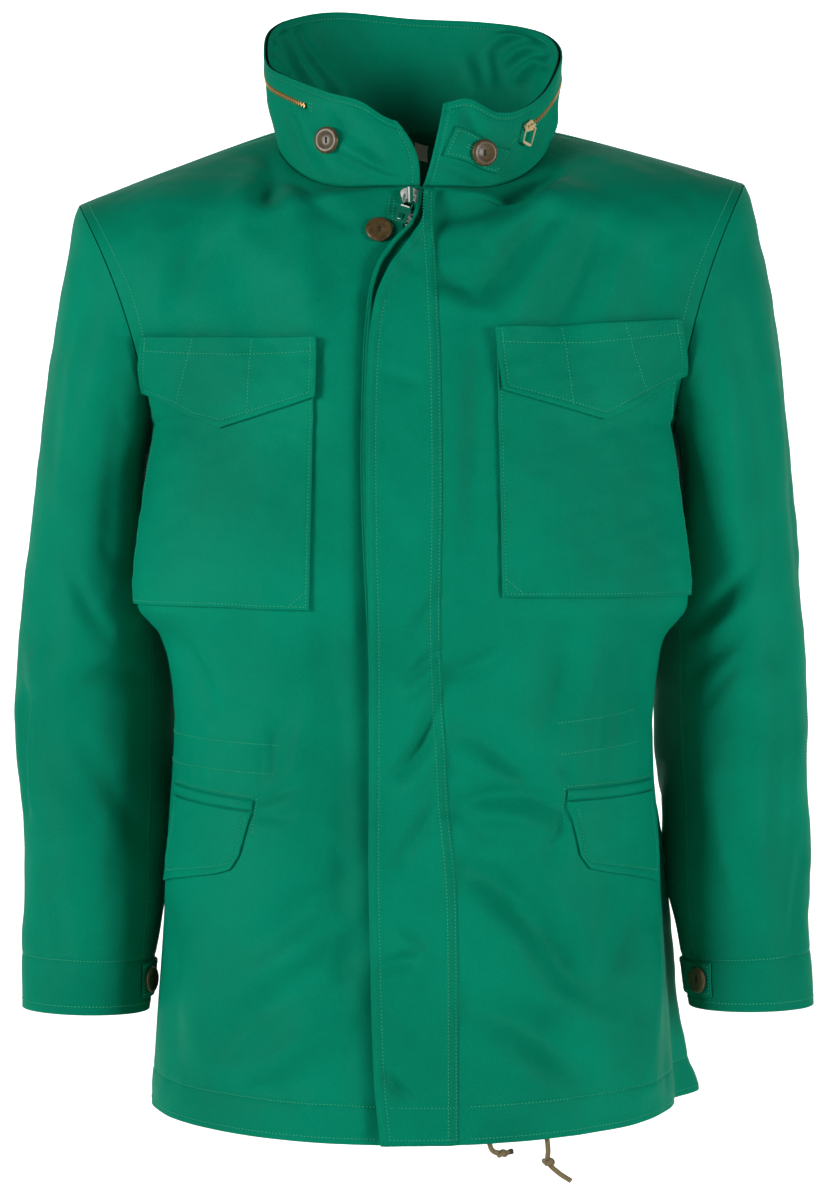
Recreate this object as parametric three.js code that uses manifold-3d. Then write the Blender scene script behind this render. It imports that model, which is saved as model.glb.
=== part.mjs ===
// A thigh-length cotton field jacket with a stand-up collar, zipped to the neck and filled out as if worn, with
// nobody in it. Each piece of cloth is a thin wall, set 0.3 mm from its neighbour where a seam joins them.
//
// Left and right are the wearer's. +X is the wearer's left, -Y is the front and +Z is up. The origin is the middle
// of the neck hole at shoulder height, where the wearer's shoulders would hold the jacket. Sizes are millimetres.
import * as THREE from "three";
import { mergeVertices } from "three/addons/utils/BufferGeometryUtils.js";
import Module from "manifold-3d";

const wasm = await Module();
wasm.setup();

const LEFT = 1;
const RIGHT = -1;
const sideName = { [LEFT]: "left", [RIGHT]: "right" };

// The shell is sateen with its seam allowances pressed in.
const SHELL = 1.6;
const SEAM = 0.3;

// Torso, in level sections from the hem up to the armpits. half is half the width, front and back are depths, and
// over is how far the front's handle leans out, where the chest pockets billow past the side seam.
const torsoSections = [
  { z: -787, half: 209, front: -131, back: 130, over: 0 },
  { z: -720, half: 205, front: -130, back: 128, over: 0 },
  { z: -640, half: 200, front: -128, back: 124, over: 0 },
  { z: -560, half: 196, front: -126, back: 120, over: 0 },
  { z: -475, half: 190, front: -121, back: 114, over: 6 },
  { z: -430, half: 193, front: -126, back: 119, over: 10 },
  { z: -405, half: 194.5, front: -129, back: 121.5, over: 26 },
  { z: -380, half: 196, front: -131, back: 124, over: 72 },
  { z: -300, half: 200, front: -134, back: 131, over: 46 },
  { z: -238, half: 206, front: -132, back: 133, over: 10 },
];
const HEM_Z = -787;
const ARMPIT_Z = -238;
const SIDE_Y = 5;
const HEM_RISE_AT_BACK = 22;
const ROUNDNESS = 0.62; // Bezier handle, as a share of the half width or depth: 0.55 would be an ellipse

// Neck hole, shoulders and armholes.
const neck = { halfWidth: 108, middleY: -10, halfDepth: 75, frontZ: -58, backZ: 6 };
const NECK_POINT = 100; // degrees round from the front, where the shoulder seam meets the neck hole
// How far up the upper front and back the centre turns into the neckline: whole rows of the surface grid, of 64.
const FRONT_NECK_SHARE = 33 / 64;
const BACK_NECK_SHARE = 41 / 64;
const shoulderTip = { [LEFT]: { x: 264, z: -43 }, [RIGHT]: { x: 266, z: -60 } };
const armholeDepth = { front: 88, back: 92 };
const NECK_STEPS = { front: 8, back: 6 }; // how many straight edges each half's neckline is cut in
const ARMHOLE_BOW = 12;
const CHEST_BULGE = 30;
const SHOULDER_BOW = 5;

const UP = new THREE.Vector3(0, 0, 1);
const point = (x, y, z) => new THREE.Vector3(x, y, z);
const radians = THREE.MathUtils.degToRad;
const mix = THREE.MathUtils.lerp;
const smooth = (low, high, value) => THREE.MathUtils.smoothstep(value, low, high);

// A column of a table at some place between its rows, on a smooth curve through them.
function read(table, key, column, at) {
  const rising = table[0][key] < table[table.length - 1][key];
  const rows = rising ? table : [...table].reverse();
  const last = rows.length - 1;
  const next = rows.findIndex((row) => row[key] > at);
  const i = next < 0 ? last - 1 : Math.max(0, next - 1);
  const slope = (j) => {
    const before = rows[Math.max(0, j - 1)];
    const after = rows[Math.min(last, j + 1)];
    return (after[column] - before[column]) / (after[key] - before[key]);
  };
  const span = rows[i + 1][key] - rows[i][key];
  const t = THREE.MathUtils.clamp((at - rows[i][key]) / span, 0, 1);
  const [t2, t3] = [t * t, t * t * t];
  return (
    (2 * t3 - 3 * t2 + 1) * rows[i][column] +
    (t3 - 2 * t2 + t) * span * slope(i) +
    (3 * t2 - 2 * t3) * rows[i + 1][column] +
    (t3 - t2) * span * slope(i + 1)
  );
}

// The neckline, by degrees round from the middle front towards the wearer's left.
function neckline(degrees) {
  const a = radians(degrees);
  const drop = 1 - smooth(25, 120, Math.abs(degrees));
  const z = mix(neck.backZ, neck.frontZ, drop);
  return point(neck.halfWidth * Math.sin(a), neck.middleY - neck.halfDepth * Math.cos(a), z);
}

// An armhole, by degrees round from the shoulder tip: 90 is the front, 180 the armpit and 270 the back.
function armhole(side, degrees) {
  const a = radians(degrees);
  const tip = shoulderTip[side];
  const deep = Math.sin(a) > 0 ? armholeDepth.front : armholeDepth.back;
  const armpitX = read(torsoSections, "z", "half", ARMPIT_Z);
  const x = mix(armpitX, tip.x, (1 + Math.cos(a)) / 2) - ARMHOLE_BOW * Math.sin(a) ** 2;
  return point(side * x, SIDE_Y - deep * Math.sin(a), mix(ARMPIT_Z, tip.z, (1 + Math.cos(a)) / 2));
}

// One half of the front or back is a stack of rows, each a Bezier curve from the centre to the side. v runs from 0
// at the hem to 1 at the armpit and 2 at the shoulder seam. Above the armpit a row ends on the armhole, and starts
// on the centre line and then on the neckline.
function rowOf(half, side, v) {
  const face = half === "front" ? -1 : 1;
  const depthAt = (z) => read(torsoSections, "z", half, z);
  if (v <= 1) {
    const z = mix(HEM_Z, ARMPIT_Z, v);
    const wide = read(torsoSections, "z", "half", z);
    const deep = depthAt(z);
    const rise = HEM_RISE_AT_BACK * (1 - smooth(0, 0.35, v));
    const [zCentre, zSide] = half === "front" ? [z, z + rise / 2] : [z + rise, z + rise / 2];
    const start = point(0, deep, zCentre);
    const end = point(side * wide, SIDE_Y, zSide);
    const out = point(side * ROUNDNESS * wide, 0, 0);
    const over = half === "front" ? read(torsoSections, "z", "over", z) : 0;
    const back = point(side * over, ROUNDNESS * (deep - SIDE_Y) - over * 0.28, 0);
    return [start, start.clone().add(out), end.clone().add(back), end];
  }
  const w = v - 1;
  const turn = half === "front" ? FRONT_NECK_SHARE : BACK_NECK_SHARE;
  const neckDegrees = half === "front" ? 0 : 180;
  const top = neckline(neckDegrees);
  const share = Math.min(1, w / turn);
  const start = point(0, mix(depthAt(ARMPIT_Z), top.y, share ** 1.9), mix(ARMPIT_Z, top.z, share));
  if (w > turn) {
    start.copy(neckline(side * mix(neckDegrees, NECK_POINT, (w - turn) / (1 - turn))));
  }
  const end = armhole(side, half === "front" ? 180 * (1 - w) : 180 * (1 + w));
  const third = end.clone().sub(start).divideScalar(3);
  const bulge = point(0, face * CHEST_BULGE * Math.sin(Math.PI * w), SHOULDER_BOW * w);
  const wide = read(torsoSections, "z", "half", ARMPIT_Z);
  const chestOut = point(side * ROUNDNESS * wide, 0, 0);
  const over = half === "front" ? read(torsoSections, "z", "over", ARMPIT_Z) * (1 - smooth(0, 0.4, w)) : 0;
  const chestBack = point(side * over, ROUNDNESS * (depthAt(ARMPIT_Z) - end.y) - over * 0.28, 0);
  const out = chestOut.lerp(third.clone().add(bulge), smooth(0, 1, w));
  const back = chestBack.lerp(third.clone().negate().addScaledVector(bulge, 0.6), smooth(0, 0.55, w));
  return [start, start.clone().add(out), end.clone().add(back), end];
}

// Points along a row at equal steps of its length.
function evenPoints(row, count) {
  const curve = new THREE.CubicBezierCurve3(...row);
  curve.arcLengthDivisions = 120;
  return curve.getSpacedPoints(count);
}

// A surface is a fine grid of points that any piece lying on it reads. Its rows are v and its columns u, from 0 to 1.
const GRID_U = 48;
const GRID_V = 128;
const SMOOTH_ROUNDS = 40;

// Evens out the creases that a corner of the outline leaves in the rows above the armpit, with the edges held.
function fair(grid) {
  const first = Math.round(GRID_V * 0.46);
  for (let round = 0; round < SMOOTH_ROUNDS * 2; round++) {
    const step = round % 2 ? -0.53 : 0.5;
    const before = grid.map((row) => row.map((p) => p.clone()));
    for (let j = first; j < GRID_V; j++) {
      for (let i = 1; i < GRID_U; i++) {
        const middle = point(0, 0, 0);
        [[j - 1, i], [j + 1, i], [j, i - 1], [j, i + 1]].forEach(([a, b]) => middle.add(before[a][b]));
        grid[j][i].lerp(middle.divideScalar(4), step);
      }
    }
  }
}

function torsoSurface(half, side) {
  const grid = [];
  for (let j = 0; j <= GRID_V; j++) grid.push(evenPoints(rowOf(half, side, (2 * j) / GRID_V), GRID_U));
  fair(grid);
  return grid;
}

// The point of a surface at u and v, and its outward normal.
function onSurface(grid, u, v, outward) {
  const rows = grid.length - 1;
  const columns = grid[0].length - 1;
  const place = (a, b) => {
    const y = THREE.MathUtils.clamp(b, 0, 1) * rows;
    const x = THREE.MathUtils.clamp(a, 0, 1) * columns;
    const j = Math.min(rows - 1, Math.floor(y));
    const i = Math.min(columns - 1, Math.floor(x));
    const low = grid[j][i].clone().lerp(grid[j][i + 1], x - i);
    const high = grid[j + 1][i].clone().lerp(grid[j + 1][i + 1], x - i);
    return low.lerp(high, y - j);
  };
  const du = 1 / columns;
  const dv = 1 / rows;
  const across = place(u + du, v).sub(place(u - du, v));
  const along = place(u, v + dv).sub(place(u, v - dv));
  return { at: place(u, v), normal: across.cross(along).multiplyScalar(outward).normalize() };
}

const torso = {};
for (const half of ["front", "back"]) {
  for (const side of [LEFT, RIGHT]) {
    torso[half + side] = { grid: torsoSurface(half, side), outward: half === "front" ? side : -side };
  }
}

// The largest folds: each is a soft ridge (height over 0) or trough from one point to another, in the front view.
const frontFolds = [
  { x0: 118, z0: -70, x1: 70, z1: -150, width: 26, height: 4 },
  { x0: -130, z0: -80, x1: -80, z1: -150, width: 26, height: 4 },
  { x0: 60, z0: -280, x1: 34, z1: -400, width: 22, height: 4 },
  { x0: 150, z0: -500, x1: 70, z1: -720, width: 38, height: 6 },
  { x0: 66, z0: -560, x1: 120, z1: -760, width: 34, height: -5 },
  { x0: -150, z0: -560, x1: -80, z1: -700, width: 36, height: 5 },
  { x0: -66, z0: -440, x1: -60, z1: -760, width: 22, height: -4 },
];
const backFolds = [
  { x0: 0, z0: -50, x1: 0, z1: -190, width: 44, height: -4 },
  { x0: 150, z0: -240, x1: 110, z1: -420, width: 28, height: 6 },
  { x0: -150, z0: -240, x1: -120, z1: -430, width: 28, height: 6 },
  { x0: 60, z0: -470, x1: 95, z1: -760, width: 32, height: 7 },
  { x0: -70, z0: -470, x1: -85, z1: -760, width: 34, height: 6 },
  { x0: 176, z0: -560, x1: 192, z1: -790, width: 38, height: 16 },
  { x0: 190, z0: -755, x1: 200, z1: -805, width: 30, height: 22 },
];

function foldHeight(folds, x, z) {
  let total = 0;
  for (const f of folds) {
    const [dx, dz] = [f.x1 - f.x0, f.z1 - f.z0];
    const t = ((x - f.x0) * dx + (z - f.z0) * dz) / (dx * dx + dz * dz);
    const near = THREE.MathUtils.clamp(t, 0, 1);
    const away = Math.hypot(x - f.x0 - near * dx, z - f.z0 - near * dz);
    total += f.height * Math.exp(-((away / f.width) ** 2)) * (0.55 + 0.45 * Math.sin(Math.PI * near));
  }
  return total;
}

// A point of the torso cloth, moved out by lift. u is 0 at the centre and 1 at the side, v is 0 at the hem, 0.5 at
// the armpit and 1 at the shoulder seam. Folds fade out towards the seams, so that neighbours still meet.
function torsoCloth(half, side, u, v, lift = 0) {
  const { grid, outward } = torso[half + side];
  const { at, normal } = onSurface(grid, u, v, outward);
  if (half === "back" && Math.abs(at.x) < 1e-6) {
    const along = onSurface(grid, 0, v + 0.01, 1).at.sub(onSurface(grid, 0, v - 0.01, 1).at);
    normal.set(0, along.z, -along.y).normalize();
  }
  const folds = half === "front" ? frontFolds : backFolds;
  const neckTurn = 0.5 + (half === "front" ? FRONT_NECK_SHARE : BACK_NECK_SHARE) / 2;
  const bySide = 1 - smooth(half === "back" && v < 0.4 ? 0.9 : 0.86, 1, u);
  const byNeck = mix(1, smooth(0, 0.12, u), smooth(neckTurn - 0.04, neckTurn, v));
  const fade = bySide * byNeck * (1 - smooth(0.94, 1, v));
  return at.addScaledVector(normal, lift + foldHeight(folds, at.x, at.z) * fade);
}

// u and v of the front or back at a distance round from the centre line and a height.
function findOnTorso(half, side, round, z) {
  const { grid } = torso[half + side];
  const lengths = grid.map((row) => row.reduce((sum, p, i) => sum + (i ? p.distanceTo(row[i - 1]) : 0), 0));
  let [low, high] = [0, 1];
  let u = 0;
  for (let step = 0; step < 30; step++) {
    const v = (low + high) / 2;
    const y = v * GRID_V;
    const j = Math.min(GRID_V - 1, Math.floor(y));
    u = Math.min(1, round / mix(lengths[j], lengths[j + 1], y - j));
    const here = onSurface(grid, u, v, 1).at.z;
    if (here < z) low = v;
    else high = v;
  }
  return [u, (low + high) / 2];
}

function frontAt(side, round, z, lift = 0) {
  const [u, v] = findOnTorso("front", side, round, z);
  return torsoCloth("front", side, u, v, lift);
}

// A closed body from two like grids of points, one the outside and one the inside. bare(j) says that the first
// column of row j is shared with a mirrored half, and gets no rim there.
function trianglesOf(outer, inner, bare = () => false) {
  const triangles = [];
  const rows = outer.length - 1;
  const columns = outer[0].length - 1;
  const quad = (a, b, c, d) => triangles.push([a, b, c], [a, c, d]);
  for (let j = 0; j < rows; j++) {
    for (let i = 0; i < columns; i++) {
      quad(outer[j][i], outer[j][i + 1], outer[j + 1][i + 1], outer[j + 1][i]);
      quad(inner[j][i], inner[j + 1][i], inner[j + 1][i + 1], inner[j][i + 1]);
    }
    if (!bare(j)) quad(outer[j][0], outer[j + 1][0], inner[j + 1][0], inner[j][0]);
    quad(outer[j + 1][columns], outer[j][columns], inner[j][columns], inner[j + 1][columns]);
  }
  for (let i = 0; i < columns; i++) {
    quad(outer[0][i + 1], outer[0][i], inner[0][i], inner[0][i + 1]);
    quad(outer[rows][i], outer[rows][i + 1], inner[rows][i + 1], inner[rows][i]);
  }
  return triangles;
}

function geometryOf(triangles) {
  const numbers = new Float32Array(triangles.flat().flatMap((p) => [p.x, p.y, p.z]));
  const loose = new THREE.BufferGeometry().setAttribute("position", new THREE.BufferAttribute(numbers, 3));
  const merged = mergeVertices(loose, 1e-3);
  const kept = [];
  const index = merged.index.array;
  for (let i = 0; i < index.length; i += 3) {
    const [a, b, c] = [index[i], index[i + 1], index[i + 2]];
    if (a !== b && b !== c && a !== c) kept.push(a, b, c);
  }
  merged.setIndex(kept);
  return signedVolume(merged) < 0 ? turned(merged) : merged;
}

function signedVolume(geometry) {
  const p = geometry.getAttribute("position");
  const corner = (i) => new THREE.Vector3().fromBufferAttribute(p, geometry.index.getX(i));
  let total = 0;
  for (let i = 0; i < geometry.index.count; i += 3) total += corner(i).dot(corner(i + 1).cross(corner(i + 2)));
  return total / 6;
}

function turned(geometry) {
  const index = Array.from(geometry.index.array);
  for (let i = 0; i < index.length; i += 3) [index[i + 1], index[i + 2]] = [index[i + 2], index[i + 1]];
  return geometry.setIndex(index);
}

const steps = (from, to, count) => Array.from({ length: count + 1 }, (_, i) => mix(from, to, i / count));

// A wall between two lifts over a patch of some surface. place(s, t, lift) gives a point, s and t from 0 to 1.
function wall(place, across, along, low, high) {
  const grid = (lift) => along.map((t) => across.map((s) => place(s, t, lift)));
  return geometryOf(trianglesOf(grid(high), grid(low)));
}

// Solids for cutting and joining.
function solidOf(geometry) {
  const bare = geometry.index ? geometry.toNonIndexed() : geometry.clone();
  bare.deleteAttribute("normal");
  bare.deleteAttribute("uv");
  const merged = mergeVertices(bare, 1e-4);
  return new wasm.Manifold(
    new wasm.Mesh({
      numProp: 3,
      vertProperties: merged.getAttribute("position").array,
      triVerts: new Uint32Array(merged.index.array),
    }),
  );
}

function geometryFrom(solid) {
  const mesh = solid.getMesh();
  const geometry = new THREE.BufferGeometry();
  geometry.setAttribute("position", new THREE.BufferAttribute(new Float32Array(mesh.vertProperties), 3));
  geometry.setIndex(Array.from(mesh.triVerts));
  return geometry;
}

// Colours and finishes.
const cloth = new THREE.MeshStandardMaterial({ color: 0x007a58, roughness: 0.62 });
const clothInside = new THREE.MeshStandardMaterial({ color: 0x00664a, roughness: 0.7 });
const horn = new THREE.MeshStandardMaterial({ color: 0x4a3415, roughness: 0.25 });
const brass = new THREE.MeshStandardMaterial({ color: 0xc39a56, roughness: 0.35, metalness: 1 });
const nickel = new THREE.MeshStandardMaterial({ color: 0xd8d8d4, roughness: 0.3, metalness: 1 });
const lacquer = new THREE.MeshStandardMaterial({ color: 0x0a5a40, roughness: 0.3 });
const braid = new THREE.MeshStandardMaterial({ color: 0x7c6436, roughness: 0.8 });
const labelCloth = new THREE.MeshStandardMaterial({ color: 0xb8ad90, roughness: 0.8 });

const jacket = new THREE.Group();

function add(name, geometry, material) {
  const mesh = new THREE.Mesh(geometry, material);
  mesh.name = name;
  jacket.add(mesh);
  return mesh;
}

// Fronts. Their centre edges stop short of the zip's teeth, and the other edges stop half a seam short.
const ZIP_X = -3;
const FRONT_EDGE = 4.5; // from the middle of the zip to the edge of each front
const ARMPIT_ROWS = [0.512, 0.524, 0.538, 0.564, 0.578]; // extra rows, which the sleeve doesn't follow
const frontHeights = [-787, -730, -670, -610, -560, -516, -480, -455, -430, -405, -380, -350, -316, -284, -258]
  .concat(ARMPIT_Z);
const frontRows = frontHeights.map((z) => (z - HEM_Z) / (ARMPIT_Z - HEM_Z) / 2)
  .concat(ARMPIT_ROWS, steps(0.5, 0.5 + FRONT_NECK_SHARE / 2, 5).slice(1))
  .concat(steps(0.5 + FRONT_NECK_SHARE / 2, 1, NECK_STEPS.front).slice(1))
  .sort((a, b) => a - b);
const frontColumns = [0, 0.06, 0.13, 0.21, 0.29, 0.37, 0.45, 0.53, 0.61, 0.69, 0.77, 0.84, 0.9, 0.95, 1];

function frontPanel(side) {
  const outerLength = 258;
  const place = (s, v, lift) => {
    const height = v * 2 - 1;
    const byCentre = (FRONT_EDGE + side * ZIP_X) / outerLength;
    const first = height < FRONT_NECK_SHARE ? byCentre : SEAM / outerLength;
    const ease = smooth(FRONT_NECK_SHARE, FRONT_NECK_SHARE + 0.06, height);
    const start = mix(byCentre, first, ease);
    return torsoCloth("front", side, mix(start, 1 - SEAM / 2 / outerLength, s), Math.min(v, 0.9994), lift);
  };
  return wall(place, frontColumns, frontRows, -SHELL, 0);
}

for (const side of [LEFT, RIGHT]) add("front_" + sideName[side], frontPanel(side), cloth);

// The back is one piece. Its two halves share their centre line up to the neckline.
const backRows = [...steps(0, 0.5, 11), ...steps(0.5, 0.5 + BACK_NECK_SHARE / 2, 6).slice(1)]
  .concat(steps(0.5 + BACK_NECK_SHARE / 2, 1, NECK_STEPS.back).slice(1));
const backColumns = [0, 0.1, 0.2, 0.3, 0.4, 0.5, 0.6, 0.7, 0.79, 0.87, 0.94, 1];

function backPanel() {
  const edge = 1 - SEAM / 2 / 258;
  const halves = [LEFT, RIGHT].map((side) => {
    const grid = (lift) =>
      backRows.map((v) => backColumns.map((s) => torsoCloth("back", side, s * edge, Math.min(v, 0.9994), lift)));
    const shared = (j) => backRows[j + 1] <= 0.5 + BACK_NECK_SHARE / 2 + 1e-6;
    const triangles = trianglesOf(grid(0), grid(-SHELL), shared);
    return side === LEFT ? triangles : triangles.map(([a, b, c]) => [a, c, b]);
  });
  return geometryOf(halves.flat());
}

add("back", backPanel(), cloth);

// Sleeves, from the armhole to the cuff. outX, outZ and inX, inZ are the outermost and innermost points of each ring,
// front and back are how far it reaches that way, and middleY is where its outermost and innermost points lie.
const sleeveRings = {
  [LEFT]: [
    { t: 0, outX: 264, outZ: -43, inX: 206, inZ: -238, middleY: 5, front: -83, back: 97 },
    { t: 0.04, outX: 270, outZ: -56, inX: 208, inZ: -246, middleY: 6, front: -82, back: 98 },
    { t: 0.1, outX: 277, outZ: -86, inX: 210, inZ: -262, middleY: 8, front: -79, back: 98 },
    { t: 0.18, outX: 288, outZ: -138, inX: 212, inZ: -290, middleY: 13, front: -73, back: 98 },
    { t: 0.28, outX: 299, outZ: -210, inX: 213, inZ: -335, middleY: 20, front: -62, back: 100 },
    { t: 0.4, outX: 308, outZ: -295, inX: 212, inZ: -390, middleY: 26, front: -48, back: 99 },
    { t: 0.52, outX: 314, outZ: -380, inX: 213, inZ: -450, middleY: 27, front: -42, back: 94 },
    { t: 0.65, outX: 318, outZ: -470, inX: 215, inZ: -520, middleY: 24, front: -40, back: 86 },
    { t: 0.78, outX: 319, outZ: -565, inX: 217, inZ: -590, middleY: 14, front: -43, back: 72 },
    { t: 0.9, outX: 317, outZ: -640, inX: 220, inZ: -648, middleY: 4, front: -46, back: 55 },
    { t: 1, outX: 320, outZ: -698, inX: 222, inZ: -700, middleY: -2, front: -46, back: 43 },
  ],
  [RIGHT]: [
    { t: 0, outX: 266, outZ: -60, inX: 206, inZ: -238, middleY: 5, front: -83, back: 97 },
    { t: 0.04, outX: 271, outZ: -72, inX: 208, inZ: -246, middleY: 6, front: -82, back: 98 },
    { t: 0.1, outX: 276, outZ: -98, inX: 210, inZ: -262, middleY: 8, front: -79, back: 98 },
    { t: 0.18, outX: 284, outZ: -145, inX: 211, inZ: -290, middleY: 13, front: -73, back: 98 },
    { t: 0.28, outX: 295, outZ: -214, inX: 211, inZ: -335, middleY: 20, front: -62, back: 100 },
    { t: 0.4, outX: 306, outZ: -298, inX: 210, inZ: -390, middleY: 26, front: -48, back: 99 },
    { t: 0.52, outX: 316, outZ: -382, inX: 209, inZ: -450, middleY: 27, front: -42, back: 94 },
    { t: 0.65, outX: 321, outZ: -468, inX: 209, inZ: -520, middleY: 24, front: -40, back: 86 },
    { t: 0.78, outX: 313, outZ: -565, inX: 209, inZ: -590, middleY: 14, front: -43, back: 72 },
    { t: 0.9, outX: 312, outZ: -642, inX: 211, inZ: -648, middleY: 4, front: -46, back: 55 },
    { t: 1, outX: 312, outZ: -700, inX: 212, inZ: -703, middleY: -2, front: -46, back: 43 },
  ],
};
const UNDER_CUFF_DROP = { [LEFT]: 3, [RIGHT]: 10 }; // how far the back of the cuff hangs below its front

// Sleeve folds run between two places given as t and degrees. width is in millimetres of sleeve.
const sleeveFolds = {
  [LEFT]: [
    { t0: 0.1, d0: 60, t1: 0.3, d1: 40, width: 22, height: 4 },
    { t0: 0.5, d0: 120, t1: 0.66, d1: 40, width: 20, height: 5 },
    { t0: 0.62, d0: 110, t1: 0.76, d1: 50, width: 18, height: -4 },
    { t0: 0.35, d0: 250, t1: 0.6, d1: 300, width: 26, height: 5 },
  ],
  [RIGHT]: [
    { t0: 0.12, d0: 50, t1: 0.34, d1: 70, width: 22, height: 4 },
    { t0: 0.48, d0: 120, t1: 0.64, d1: 30, width: 20, height: 5 },
    { t0: 0.6, d0: 30, t1: 0.72, d1: 100, width: 18, height: -5 },
    { t0: 0.36, d0: 260, t1: 0.58, d1: 300, width: 26, height: 5 },
  ],
};
const SLEEVE_LENGTH = 560;
const DEGREE_LENGTH = 1.05; // millimetres round the sleeve for a degree
// How far the under sleeve leans in behind the body, beside the waist, and where round the sleeve that is.
const sleeveTuck = [
  { t: 0, depth: 0 },
  { t: 0.12, depth: 0 },
  { t: 0.22, depth: 4 },
  { t: 0.32, depth: 12 },
  { t: 0.45, depth: 20 },
  { t: 0.66, depth: 20 },
  { t: 0.8, depth: 16 },
  { t: 0.92, depth: 7 },
  { t: 1, depth: 2 },
];
const TUCK_AT = 205;
const TUCK_WIDTH = 32;

function sleeveRing(side, t, degrees) {
  const rings = sleeveRings[side];
  const at = (column) => read(rings, "t", column, t);
  const a = radians(degrees);
  const share = (1 + Math.cos(a)) / 2;
  const bow = ARMHOLE_BOW * (1 - smooth(0, 0.2, t)) * Math.sin(a) ** 2;
  const tuck = read(sleeveTuck, "t", "depth", t) * Math.exp(-((((degrees % 360) - TUCK_AT) / TUCK_WIDTH) ** 2));
  const x = mix(at("inX"), at("outX"), share) - bow - tuck;
  const reach = Math.sin(a) > 0 ? at("middleY") - at("front") : at("back") - at("middleY");
  const drop = UNDER_CUFF_DROP[side] * smooth(0.93, 1, t) * smooth(0.1, 0.9, -Math.sin(a));
  const z = mix(at("inZ"), at("outZ"), share) - drop;
  return point(side * x, at("middleY") - reach * Math.sin(a), z);
}

function sleeveCloth(side, t, degrees, lift = 0) {
  const d = 0.004;
  const [before, after] = [Math.max(0, t - d), Math.min(1, t + d)];
  const along = sleeveRing(side, after, degrees).sub(sleeveRing(side, before, degrees));
  const round = sleeveRing(side, t, degrees + 1).sub(sleeveRing(side, t, degrees - 1));
  const normal = round.cross(along).multiplyScalar(side).normalize();
  normal.setX(normal.x * smooth(0, 0.06, t)).normalize();
  let fold = 0;
  for (const f of sleeveFolds[side]) {
    const [dx, dy] = [(f.t1 - f.t0) * SLEEVE_LENGTH, (f.d1 - f.d0) * DEGREE_LENGTH];
    const [px, py] = [(t - f.t0) * SLEEVE_LENGTH, (((degrees + 360) % 360) - f.d0) * DEGREE_LENGTH];
    const near = THREE.MathUtils.clamp((px * dx + py * dy) / (dx * dx + dy * dy), 0, 1);
    fold += f.height * Math.exp(-((Math.hypot(px - near * dx, py - near * dy) / f.width) ** 2));
  }
  fold *= smooth(0.02, 0.1, t) * (1 - smooth(0.9, 1, t));
  const p = sleeveRing(side, t, degrees).addScaledVector(normal, lift + fold);
  return p.setX(p.x + side * SEAM * 1.6 * (1 - smooth(0, 0.05, t)));
}

// The sleeve's columns meet the corners of the armhole's edge. The inner seam is one of them.
const armholeRows = (rows) => rows.filter((v) => v >= 0.5 && !ARMPIT_ROWS.includes(v)).map((v) => 2 * v - 1);
const frontDegrees = armholeRows(frontRows).map((w) => 180 * (1 - w)).reverse();
const backDegrees = armholeRows(backRows).map((w) => 180 * (1 + w));
const innerSeam = frontDegrees[frontDegrees.length - 2];
const upperColumns = frontDegrees.filter((d) => d <= innerSeam);
const underColumns = [innerSeam, ...backDegrees];
const trimmed = (list) => [list[0] + 0.2, ...list.slice(1, -1), list[list.length - 1] - 0.2];

const sleeveRows = [0, 0.04, 0.1, 0.17, 0.25, 0.33, 0.41, 0.49, 0.57, 0.65, 0.73, 0.82, 0.91, 1];
for (const side of [LEFT, RIGHT]) {
  const piece = (degrees, t, lift) => sleeveCloth(side, t, degrees, lift);
  const upper = wall(piece, trimmed(upperColumns), sleeveRows, -SHELL, 0);
  const under = wall(piece, trimmed(underColumns), sleeveRows, -SHELL, 0);
  add("sleeve_" + sideName[side] + "_upper", upper, cloth);
  add("sleeve_" + sideName[side] + "_under", under, cloth);
}

// Stand-up collar, by degrees round from the middle front through the wearer's left. z is its top edge.
const collarTop = [
  { at: 4, z: 2 },
  { at: 12, z: 6 },
  { at: 21, z: 10 },
  { at: 33, z: 1 },
  { at: 45, z: 5 },
  { at: 60, z: 21 },
  { at: 75, z: 43 },
  { at: 90, z: 60 },
  { at: 120, z: 85 },
  { at: 150, z: 98 },
  { at: 180, z: 103 },
  { at: 212, z: 106 },
  { at: 240, z: 94 },
  { at: 262, z: 76 },
  { at: 283, z: 48 },
  { at: 308, z: 30 },
  { at: 327, z: 16 },
  { at: 340, z: 8 },
  { at: 350, z: -5 },
  { at: 363, z: -14 },
];
const collarRim = { halfWidth: 119, middleY: -9, front: 80, back: 78 };
// The front ends of the collar, in degrees at the neckline and at the top edge, and how each line curves between.
const collarStart = { low: 4, high: 11.3, power: 0.75 };
const collarEnd = { low: 362.8, high: 354.3, power: 3 };
const COLLAR_LAYER = 1.2;
const COLLAR_GAP = 1.8;
const collarZip = { from: 48, to: 316, share: 0.7, endShare: 0.77, backShare: 0.62, width: 7 };

function collarLine(degrees, h) {
  const a = radians(degrees);
  const low = neckline(degrees > 180 ? degrees - 360 : degrees);
  low.z += 0.5;
  const deep = Math.cos(a) > 0 ? collarRim.front : collarRim.back;
  const x = collarRim.halfWidth * Math.sin(a);
  const high = point(x, collarRim.middleY - deep * Math.cos(a), read(collarTop, "at", "z", degrees));
  const bow = 3 * Math.sin(Math.PI * h);
  return low.lerp(high, h).add(point(bow * Math.sin(a), -bow * Math.cos(a), 0));
}

function collarFrame(degrees, h) {
  const round = collarLine(degrees + 1, h).sub(collarLine(degrees - 1, h)).normalize();
  const up = collarLine(degrees, Math.min(1, h + 0.02)).sub(collarLine(degrees, Math.max(0, h - 0.02)));
  const normal = round.clone().cross(up).normalize();
  return { at: collarLine(degrees, h), round, normal };
}

function collarCloth(degrees, h, lift = 0) {
  const { at, normal } = collarFrame(degrees, h);
  return at.addScaledVector(normal, lift);
}

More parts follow.
